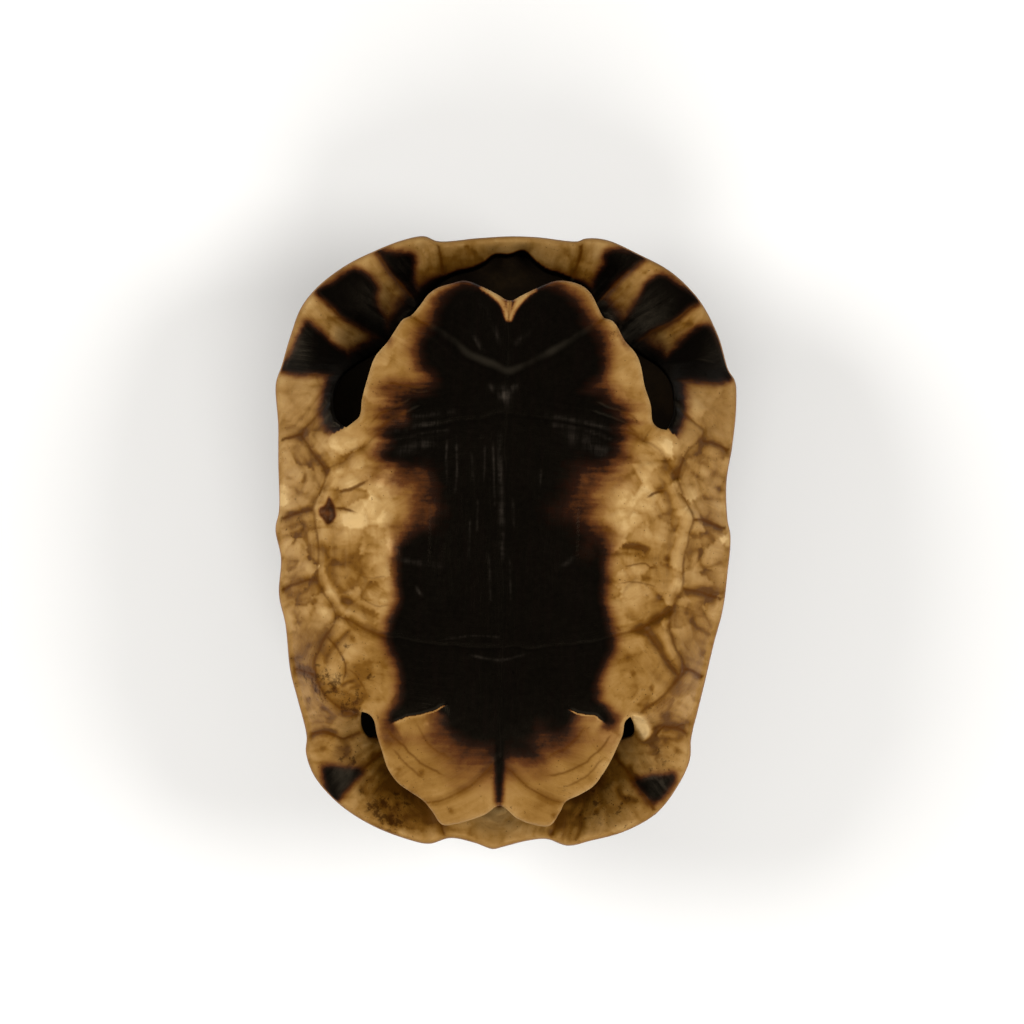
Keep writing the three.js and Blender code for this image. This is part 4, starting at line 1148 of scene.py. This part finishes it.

# The abdominal plates stand up along their outer and rear border, with a painted highlight on the raised
# border and painted shade in the valley inside it.
outer_part = pale_here * step_up(40 - np.abs(y), 0, 8) * ~on_rim
for name in ("bridge_left", "bridge_right", "abdominal"):
    distance = near(p, belly_lines[name][0], 8)[0]
    lift += 0.7 * bump(distance - 2.9, 1.5) * outer_part
    tone[ids] += 0.15 * bump(distance - 3.4, 1.5) * outer_part
    tone[ids] -= 0.3 * bump(distance - 6.8, 2.2) * outer_part

# The chipped front edge of the hind lobe's horn: a painted highlight along the edge, thinner pigment behind
# it, and painted shadow (darker pigment and a dark line) in front of it.
for line in step_lines:
    distance, _, along = near(p, line, 14)
    end = taper(line, 4)[:, 0]
    fade = np.interp(along, np.linspace(0, along.max(), len(end)), end)
    behind = y < np.interp(x, line[:, 0], line[:, 1])
    lift += np.where(behind, 1.0 * bump(distance, 6), -0.3 * bump(distance, 3)) * fade
    edge = bump(distance - 0.7, 0.7 * (1 + 0.4 * noise(p, 4, 68))) * np.sqrt(fade)
    tone[ids] += np.where(behind, 0.6 * edge, 0)
    dark = np.where(behind, dark - 1.7 * bump(distance, 6) * fade, dark + 0.8 * bump(distance, 4) * fade)
    dark = np.where(behind, np.minimum(dark, DEEPEST_INK - 4.6 * edge), dark)
    marks = np.maximum(marks, np.where(behind, 0, 0.9 * bump(distance, 0.9)) * fade)

# The gnawed hole at the left bridge and the smooth yellow lump at the right hind notch.
hole_depth = depth_in(p, hole_line) + 0.25 * noise(p, 4, 19)
lift -= 1.8 * step_up(hole_depth, -0.8, 2.4)
dark = np.maximum(dark, np.clip(hole_depth * 1.2 - 0.8, -DEEPEST_INK, -0.1))
swell = step_up(depth_in(p, spline(YELLOW_LUMP, closed=True)), -1.0, 2.4)
lift += 2.5 * swell
tone[ids] = tone[ids] * (1 - swell) + 1.5 * swell
marks *= 1 - swell

# Painted shade in the deep part of the front plates and at the rear: the tone and the pigment field grow
# dark where the rim's underside drops below its crest, and a dark strip is painted beside the front lip.
drop = (crest_height(p) - base[ids, 2]) * on_rim
tone[ids] -= (0.55 + 0.45 * step_up(np.abs(x), 24, 36)) * step_up(drop, 0.5, 13)
deep_shade = step_up(drop, 2, 14) * 2.4 - 2.6 + 0.5 * noise(p, 8, 35)
dark = np.maximum(dark, np.where(on_rim, deep_shade, -DEEPEST_INK))
beside = near(p, lip_front, 30)[0]
reach = np.interp(np.abs(x), [0, 28, 40, 58, 75], [0.6, 1.0, 5.0, 6.5, 4.5]) * (1 + 0.25 * noise(p, 7, 36))
dark = np.maximum(dark, np.where(on_rim & (y > 40), 1.4 - beside / reach * 1.6, -DEEPEST_INK))
ink_and_shade[ids] = np.clip(dark, -DEEPEST_INK, DEEPEST_INK)
tone[ids] -= 0.13 * step_up(-y, 5, 55)  # the hind half is darker
tone[ids] += 0.22 * noise(p, 16, 25) + 0.16 * noise(p * [0.5, 1], 6, 26)
for cx, cy, radius, amount in DIRT:
    dirt[ids] = np.maximum(dirt[ids], amount * bump(np.hypot(x - cx, y - cy), radius))
# Painted light: the tail plate seen in the rear notch is made paler against the hind lobe's shadow.
tone[ids] += 0.9 * bump(np.hypot(x, 0.9 * (y + 111)), 8) * on_rim
# Painted highlight along the lobes' edges: paler tone, and the black thinned to a lighter edge.
for line in (lobe_front, lobe_rear):
    distance = near(p, line, 6)[0]
    tone[ids] += 0.4 * bump(distance, 1.3) * pale_here * ~on_rim
    ink_and_shade[ids] -= 1.5 * bump(distance, 0.9) * ~on_rim
dirt[ids] *= 1 - swell
plate[ids] = np.minimum(seam, SEAM_REACH)
line_mark[ids] = marks
worn_black = np.zeros(len(ids))
for line, width, strength in dust_lines:
    distance, _, along = near(p, line, 4 * width + 2)
    cover = strength * (0.6 + 0.8 * noise(p, 4, 73)) * bump(distance, width * (1 + 0.3 * noise(p, 6, 74)))
    cover *= ends_fade(along, -1.5, min(5.0, 2.5 * width + 1))
    worn_black = np.maximum(worn_black, cover)
dust[ids] = worn_black
edge_ids = np.isin(ids, np.concatenate([rim_ids[1], rim_ids[2]]))
vertices[ids, 2] += lift * np.where(edge_ids, 0.4, 1)
# Painted highlight along the rim's outer edge and on its edge rows.
rim_gap = near(p, outer, 8, closed=True)[0]
tone[ids] += 0.2 * bump(rim_gap, 2.0) * on_rim
for row in rim_ids:
    tone[row] += 0.05

# The dome: bulging plates with growth rings round a small pale eye.
p = flat_dome
seam = np.full(len(p), 1e9)
for line in dome_seams:
    seam = np.minimum(seam, near(p, line, 30)[0])
eye = np.full(len(p), 1e9)
for cx, cy, radius in EYES:
    for side in ((1, -1) if cx else (1,)):
        distance = np.hypot((p[:, 0] - side * cx) * 0.85, p[:, 1] - cy)
        eye = np.minimum(eye, distance - radius + 2.0 * noise(p, 7, 50))
on_side = dome_share < RIM_PLATES_REACH
rings = np.sin(np.minimum(seam, SEAM_REACH) * 2 * math.pi / DOME_RING_GAP + 0.8 * noise(p, 10, 51))
sink = 1.3 * bump(seam, 1.2) + 1.1 * (1 - step_up(seam, 0, 16))
sink += 0.34 * (1 + rings) * bump(seam, 26) + 0.5 * (1 + noise(p, 16, 52))
sink += np.where(on_side, 0.5 * step_up(-eye, -1, 2), 0)
sink *= step_up(1 - dome_share, 0, 0.03)
vertices[dome_ids] = base[dome_ids] - outward * sink[:, None]
back[dome_ids] = 1
plate[dome_ids] = np.minimum(seam, SEAM_REACH)
line_mark[dome_ids] = 0.8 * bump(seam, 1.0)
tone[dome_ids] = 0.2 * noise(p, 14, 53)
flank = (dome_share - 0.93 + 0.02 * noise(p, 12, 54)) / 0.02
ink_and_shade[dome_ids] = np.clip(np.where(on_side, eye / 3.0, -flank), -DEEPEST_INK, DEEPEST_INK)

# The inside is bone, from the third row of each edge on. The edges are as dark as the horn above them.
bone[belly_in_ids] = 1
bone[dome_in_ids] = 1
for rows in (front_lobe_ids, rear_lobe_ids, front_lip_ids, rear_lip_ids):
    for row in rows[2:]:
        bone[row] = 1
    for row in rows[1:]:
        ink_and_shade[row] = ink_and_shade[rows[0]]
vertices[:, 2] = np.maximum(vertices[:, 2], 0)

# The worn horn is fitted to the solid's own box.
low, high = vertices.min(0), vertices.max(0)
vertices = box_low + (vertices - low) * (box_high - box_low) / (high - low)

# ------------------------------------------------------------------ the mesh
def added(name, data):
    """A new object in the scene."""
    made = bpy.data.objects.new(name, data)
    bpy.context.collection.objects.link(made)
    return made


mesh = bpy.data.meshes.new("shell_horn")
mesh.from_pydata((vertices / 1000).tolist(), [], triangles.tolist())
shell = added("shell_horn", mesh)
work = bmesh.new()
work.from_mesh(mesh)
bmesh.ops.recalc_face_normals(work, faces=work.faces)
open_edges = sum(not e.is_manifold for e in work.edges)
volume = work.calc_volume(signed=True)
work.to_mesh(mesh)
work.free()
print("shell:", len(mesh.vertices), "points", len(mesh.polygons), "triangles; open edges", open_edges,
      "volume cm3", round(volume * 1e6, 1))
mesh.shade_smooth()
fields = {
    "ink_and_shade": ink_and_shade, "line": line_mark, "plate": plate, "tone": tone, "dirt": dirt, "bone": bone, "back": back,
    "dust": dust,
}
for name, values in fields.items():
    mesh.attributes.new(name, "FLOAT", "POINT").data.foreach_set("value", values.astype(np.float32))

# ------------------------------------------------------------------ horn and bone
horn = bpy.data.materials.new("horn_and_bone")
horn.use_nodes = True
tree = horn.node_tree
tree.nodes.clear()


def node(kind, inputs=None, **settings):
    made = tree.nodes.new(kind)
    for key, value in settings.items():
        setattr(made, key, value)
    for key, value in (inputs or {}).items():
        if isinstance(value, bpy.types.NodeSocket):
            tree.links.new(value, made.inputs[key])
        else:
            made.inputs[key].default_value = value
    return made


def maths(operation, a, b):
    return node("ShaderNodeMath", {0: a, 1: b}, operation=operation).outputs[0]


def varied(value, source, amount):
    """The value with a pattern's ups and downs added."""
    return maths("ADD", value, maths("MULTIPLY", maths("SUBTRACT", source, 0.5), amount))


def field(name):
    return node("ShaderNodeAttribute", attribute_name=name).outputs["Fac"]


def pattern(scale, detail=4.0, roughness=0.55, stretch=(1, 1, 1), vector=None):
    """Noise between 0 and 1. The scale is in features per metre."""
    source = vector or coordinates
    mapped = node("ShaderNodeMapping", {"Vector": source, "Scale": stretch}).outputs[0]
    made = node("ShaderNodeTexNoise", {"Vector": mapped, "Scale": scale, "Detail": detail,
                                       "Roughness": roughness})
    return made.outputs["Fac"]


def colour(r, g, b):
    """A colour given as sRGB, 0 to 255."""
    return (*[(c / 255) ** 2.2 for c in (r, g, b)], 1)


def ramp(value, *stops):
    """A colour ramp: each stop is (place, colour as sRGB 0 to 255)."""
    made = node("ShaderNodeValToRGB", {"Fac": value})
    while len(made.color_ramp.elements) < len(stops):
        made.color_ramp.elements.new(0.5)
    for element, (place, srgb) in zip(made.color_ramp.elements, stops):
        element.position = place
        element.color = colour(*srgb)
    return made.outputs["Color"]


def blend(share, a, b, kind="MIX"):
    """Two colours mixed. These are the numbers of the Mix node's colour sockets."""
    return node("ShaderNodeMix", {0: share, 6: a, 7: b}, data_type="RGBA", blend_type=kind).outputs[2]


def clipped(value, low, high):
    """0 at the low value, 1 at the high one, smooth between them."""
    return node("ShaderNodeMapRange", {"Value": value, "From Min": low, "From Max": high},
                interpolation_type="SMOOTHSTEP").outputs[0]


coordinates = node("ShaderNodeTexCoord").outputs["Object"]
inks_and_shade, lines, plates, tones = field("ink_and_shade"), field("line"), field("plate"), field("tone")
grime, bones, backs, wear = field("dirt"), field("bone"), field("back"), field("dust")

cloud = pattern(60)
grain = pattern(420, 5, 0.65)
fibre = pattern(330, 4, 0.7, (1, 0.09, 1))
cross = pattern(420, 3, 0.6, (0.12, 1, 1))
speck = pattern(900, 2, 0.5)
# Growth lines: a pattern that changes fast away from the plates' borders and slowly along them.
slow = node("ShaderNodeMapping", {"Vector": coordinates, "Scale": (18, 18, 18)}).outputs[0]
slow = node("ShaderNodeSeparateXYZ", {0: slow}).outputs
ring_place = node("ShaderNodeCombineXYZ", {
    "X": maths("MULTIPLY", plates, 0.45), "Y": slow[0], "Z": slow[1],
}).outputs[0]
ring_lines = pattern(1.0, 4, 0.7, vector=ring_place)

# Light horn: amber, paler and darker by the tone field, which holds both worn places and painted light and
# shade, with fine growth lines.
shade = maths("ADD", 0.5, maths("MULTIPLY", tones, 0.45))
for source, amount in ((ring_lines, 0.24), (cloud, 0.5), (cross, 0.1), (grain, 0.22)):
    shade = varied(shade, source, amount)
amber = ramp(shade, (0.0, (80, 49, 12)), (0.22, (104, 69, 23)), (0.42, (130, 94, 46)),
             (0.58, (146, 110, 62)), (0.8, (164, 129, 79)), (1.0, (190, 156, 104)))

# Pigment, with the painted shade and light carried in the same field: a ragged red-brown fringe that goes
# over into near-black.
ragged = varied(varied(inks_and_shade, cross, 0.7), grain, 0.7)
depth = clipped(ragged, -1.7, 1.1)
stain = ramp(depth, (0.0, (255, 255, 255)), (0.25, (214, 196, 180)), (0.5, (146, 110, 88)),
             (0.75, (56, 30, 22)), (1.0, (8, 5, 5)))
body = blend(1.0, amber, stain, "MULTIPLY")
dusty = ramp(maths("MULTIPLY", fibre, clipped(inks_and_shade, 0.2, 1.5)), (0.45, (0, 0, 0)), (0.8, (10, 5, 6)))
body = blend(1.0, body, dusty, "ADD")

# Seams: brown on light horn, a little dusty on the black.
seam_colour = blend(clipped(inks_and_shade, -0.5, 0.8), colour(76, 43, 5), colour(40, 36, 30))
body = blend(maths("MULTIPLY", clipped(lines, 0.1, 0.95), 0.85), body, seam_colour)

# Grey wear in the black, broken up by fine streaks.
wear = maths("MULTIPLY", wear, clipped(inks_and_shade, -0.5, 0.8))
wear = maths("MULTIPLY", wear, clipped(maths("ADD", fibre, maths("MULTIPLY", cross, 0.5)), 0.55, 1.0))
body = blend(wear, body, colour(66, 59, 52))

# Dirt: small dark spots, more of them where the shell is dirty.
spots = clipped(maths("ADD", speck, maths("MULTIPLY", grime, 0.08)), 0.68, 0.78)
blots = clipped(maths("ADD", pattern(210, 4, 0.65), maths("MULTIPLY", grime, 0.2)), 0.66, 0.8)
soiled = maths("MAXIMUM", maths("MULTIPLY", spots, 0.8), maths("MULTIPLY", blots, 0.8))
bare = maths("MULTIPLY", maths("SUBTRACT", 1.0, bones), maths("SUBTRACT", 1.0, clipped(inks_and_shade, -0.8, 0.3)))
body = blend(maths("MULTIPLY", soiled, bare), body, colour(50, 28, 8))

# The dome's horn is browner. The inside is dry bone, coloured near-black as painted shade of the hollow.
dome_tint = blend(1.0, body, colour(225, 200, 170), "MULTIPLY")
body = blend(backs, body, dome_tint)
dry = ramp(varied(cloud, grain, 0.4), (0.25, (15, 10, 6)), (0.5, (25, 18, 11)), (0.75, (39, 29, 18)))
body = blend(bones, body, dry)

# Roughness, sheen and fine relief: the black horn is smoother, seams and dirt are dull.
rough = node("ShaderNodeMapRange", {"Value": maths("ADD", grain, maths("MULTIPLY", cloud, 0.5)),
                                    "From Min": 0.4, "From Max": 1.1, "To Min": 0.46,
                                    "To Max": 0.62}).outputs[0]
rough = maths("ADD", rough, maths("MULTIPLY", bones, 0.3))
pigmented = clipped(inks_and_shade, -0.5, 1.0)
rough = maths("SUBTRACT", rough, maths("MULTIPLY", pigmented, 0.14))
gloss = maths("SUBTRACT", 0.17, maths("MULTIPLY", pigmented, 0.08))
dull = maths("MULTIPLY", maths("MAXIMUM", lines, soiled), 0.75)
gloss = maths("MULTIPLY", gloss, maths("SUBTRACT", 1.0, dull))
fine_relief = maths("ADD", maths("MULTIPLY", ring_lines, 1.2), maths("MULTIPLY", grain, 0.5))
fine_relief = maths("ADD", fine_relief, maths("MULTIPLY", fibre, 0.25))
fine_relief = maths("SUBTRACT", fine_relief, maths("MULTIPLY", soiled, 0.1))
fine_relief = maths("MULTIPLY", fine_relief, maths("SUBTRACT", 1.0, maths("MULTIPLY", pigmented, 0.4)))
relief = node("ShaderNodeBump", {"Strength": 0.5, "Distance": 0.0005, "Height": fine_relief})
surface = node("ShaderNodeBsdfPrincipled", {
    "Base Color": body, "Roughness": rough, "IOR": 1.5, "Specular IOR Level": gloss,
    "Specular Tint": (1.0, 0.78, 0.5, 1), "Normal": relief.outputs[0],
})
node("ShaderNodeOutputMaterial", {"Surface": surface.outputs[0]})
mesh.materials.append(horn)

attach(shell, "root")
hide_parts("shell")

# ------------------------------------------------------------------ studio
FLOOR_SIZE = 6.0
floor_mesh = bpy.data.meshes.new("floor")
half = FLOOR_SIZE / 2
floor_mesh.from_pydata([(-half, -half, 0), (half, -half, 0), (half, half, 0), (-half, half, 0)], [],
                       [(0, 1, 2, 3)])
floor = added("floor", floor_mesh)
paper = bpy.data.materials.new("paper")
paper.use_nodes = True
paper_surface = paper.node_tree.nodes["Principled BSDF"]
paper_surface.inputs["Base Color"].default_value = (0.8, 0.79, 0.77, 1)
paper_surface.inputs["Roughness"].default_value = 0.9
floor_mesh.materials.append(paper)


# Three soft round lamps aimed at the middle of the shell: place in metres and power in watts.
LAMP_SIZE = 0.9
LAMP_AIM = Vector((0, 0, 0.05))
LAMPS = {
    "left": ((-1.35, 0.35, 1.05), 24), "right": ((1.35, 0.1, 1.15), 22), "tail": ((0.1, -1.3, 1.2), 17),
}
for name, (place, power) in LAMPS.items():
    light = bpy.data.lights.new(name, "AREA")
    light.shape = "DISK"
    light.size = LAMP_SIZE
    light.energy = power
    lamp = added(name, light)
    lamp.location = place
    lamp.rotation_euler = (LAMP_AIM - Vector(place)).to_track_quat("-Z", "Y").to_euler()
world = bpy.data.worlds.new("studio")
bpy.context.scene.world = world
bpy.context.scene.view_settings.view_transform = "Standard"
world.use_nodes = True
world.node_tree.nodes["Background"].inputs["Color"].default_value = (1, 0.98, 0.95, 1)
world.node_tree.nodes["Background"].inputs["Strength"].default_value = 0.2

# The camera looks straight down on the belly, from as far as a long lens stands.
CAMERA_HEIGHT = 2.285
VIEW_WIDTH = 0.43366  # across the picture, at the belly's mean height
VIEW_LEVEL = 0.085
LEAN = math.radians(1.28)  # the shell's own middle line leans a little to the right of upright
SENSOR = 36.0
PICTURE = 1024  # pixels
ORIGIN_ACROSS = 505.3  # where the outlines' own origin lies in the picture, from its left and top
ORIGIN_DOWN = 542
camera_data = bpy.data.cameras.new("camera")
camera_data.type = "PERSP"
camera_data.sensor_width = SENSOR
camera_data.lens = SENSOR * (CAMERA_HEIGHT - VIEW_LEVEL) / VIEW_WIDTH
camera_data.shift_x = (PICTURE / 2 - ORIGIN_ACROSS) / PICTURE
camera_data.shift_y = (ORIGIN_DOWN - PICTURE / 2) / PICTURE
camera = added("camera", camera_data)
bpy.context.scene.camera = camera
moved = (box_low - low)[:2] / 1000
camera.location = (moved[0], moved[1], CAMERA_HEIGHT)
camera.rotation_euler = (0, 0, LEAN)
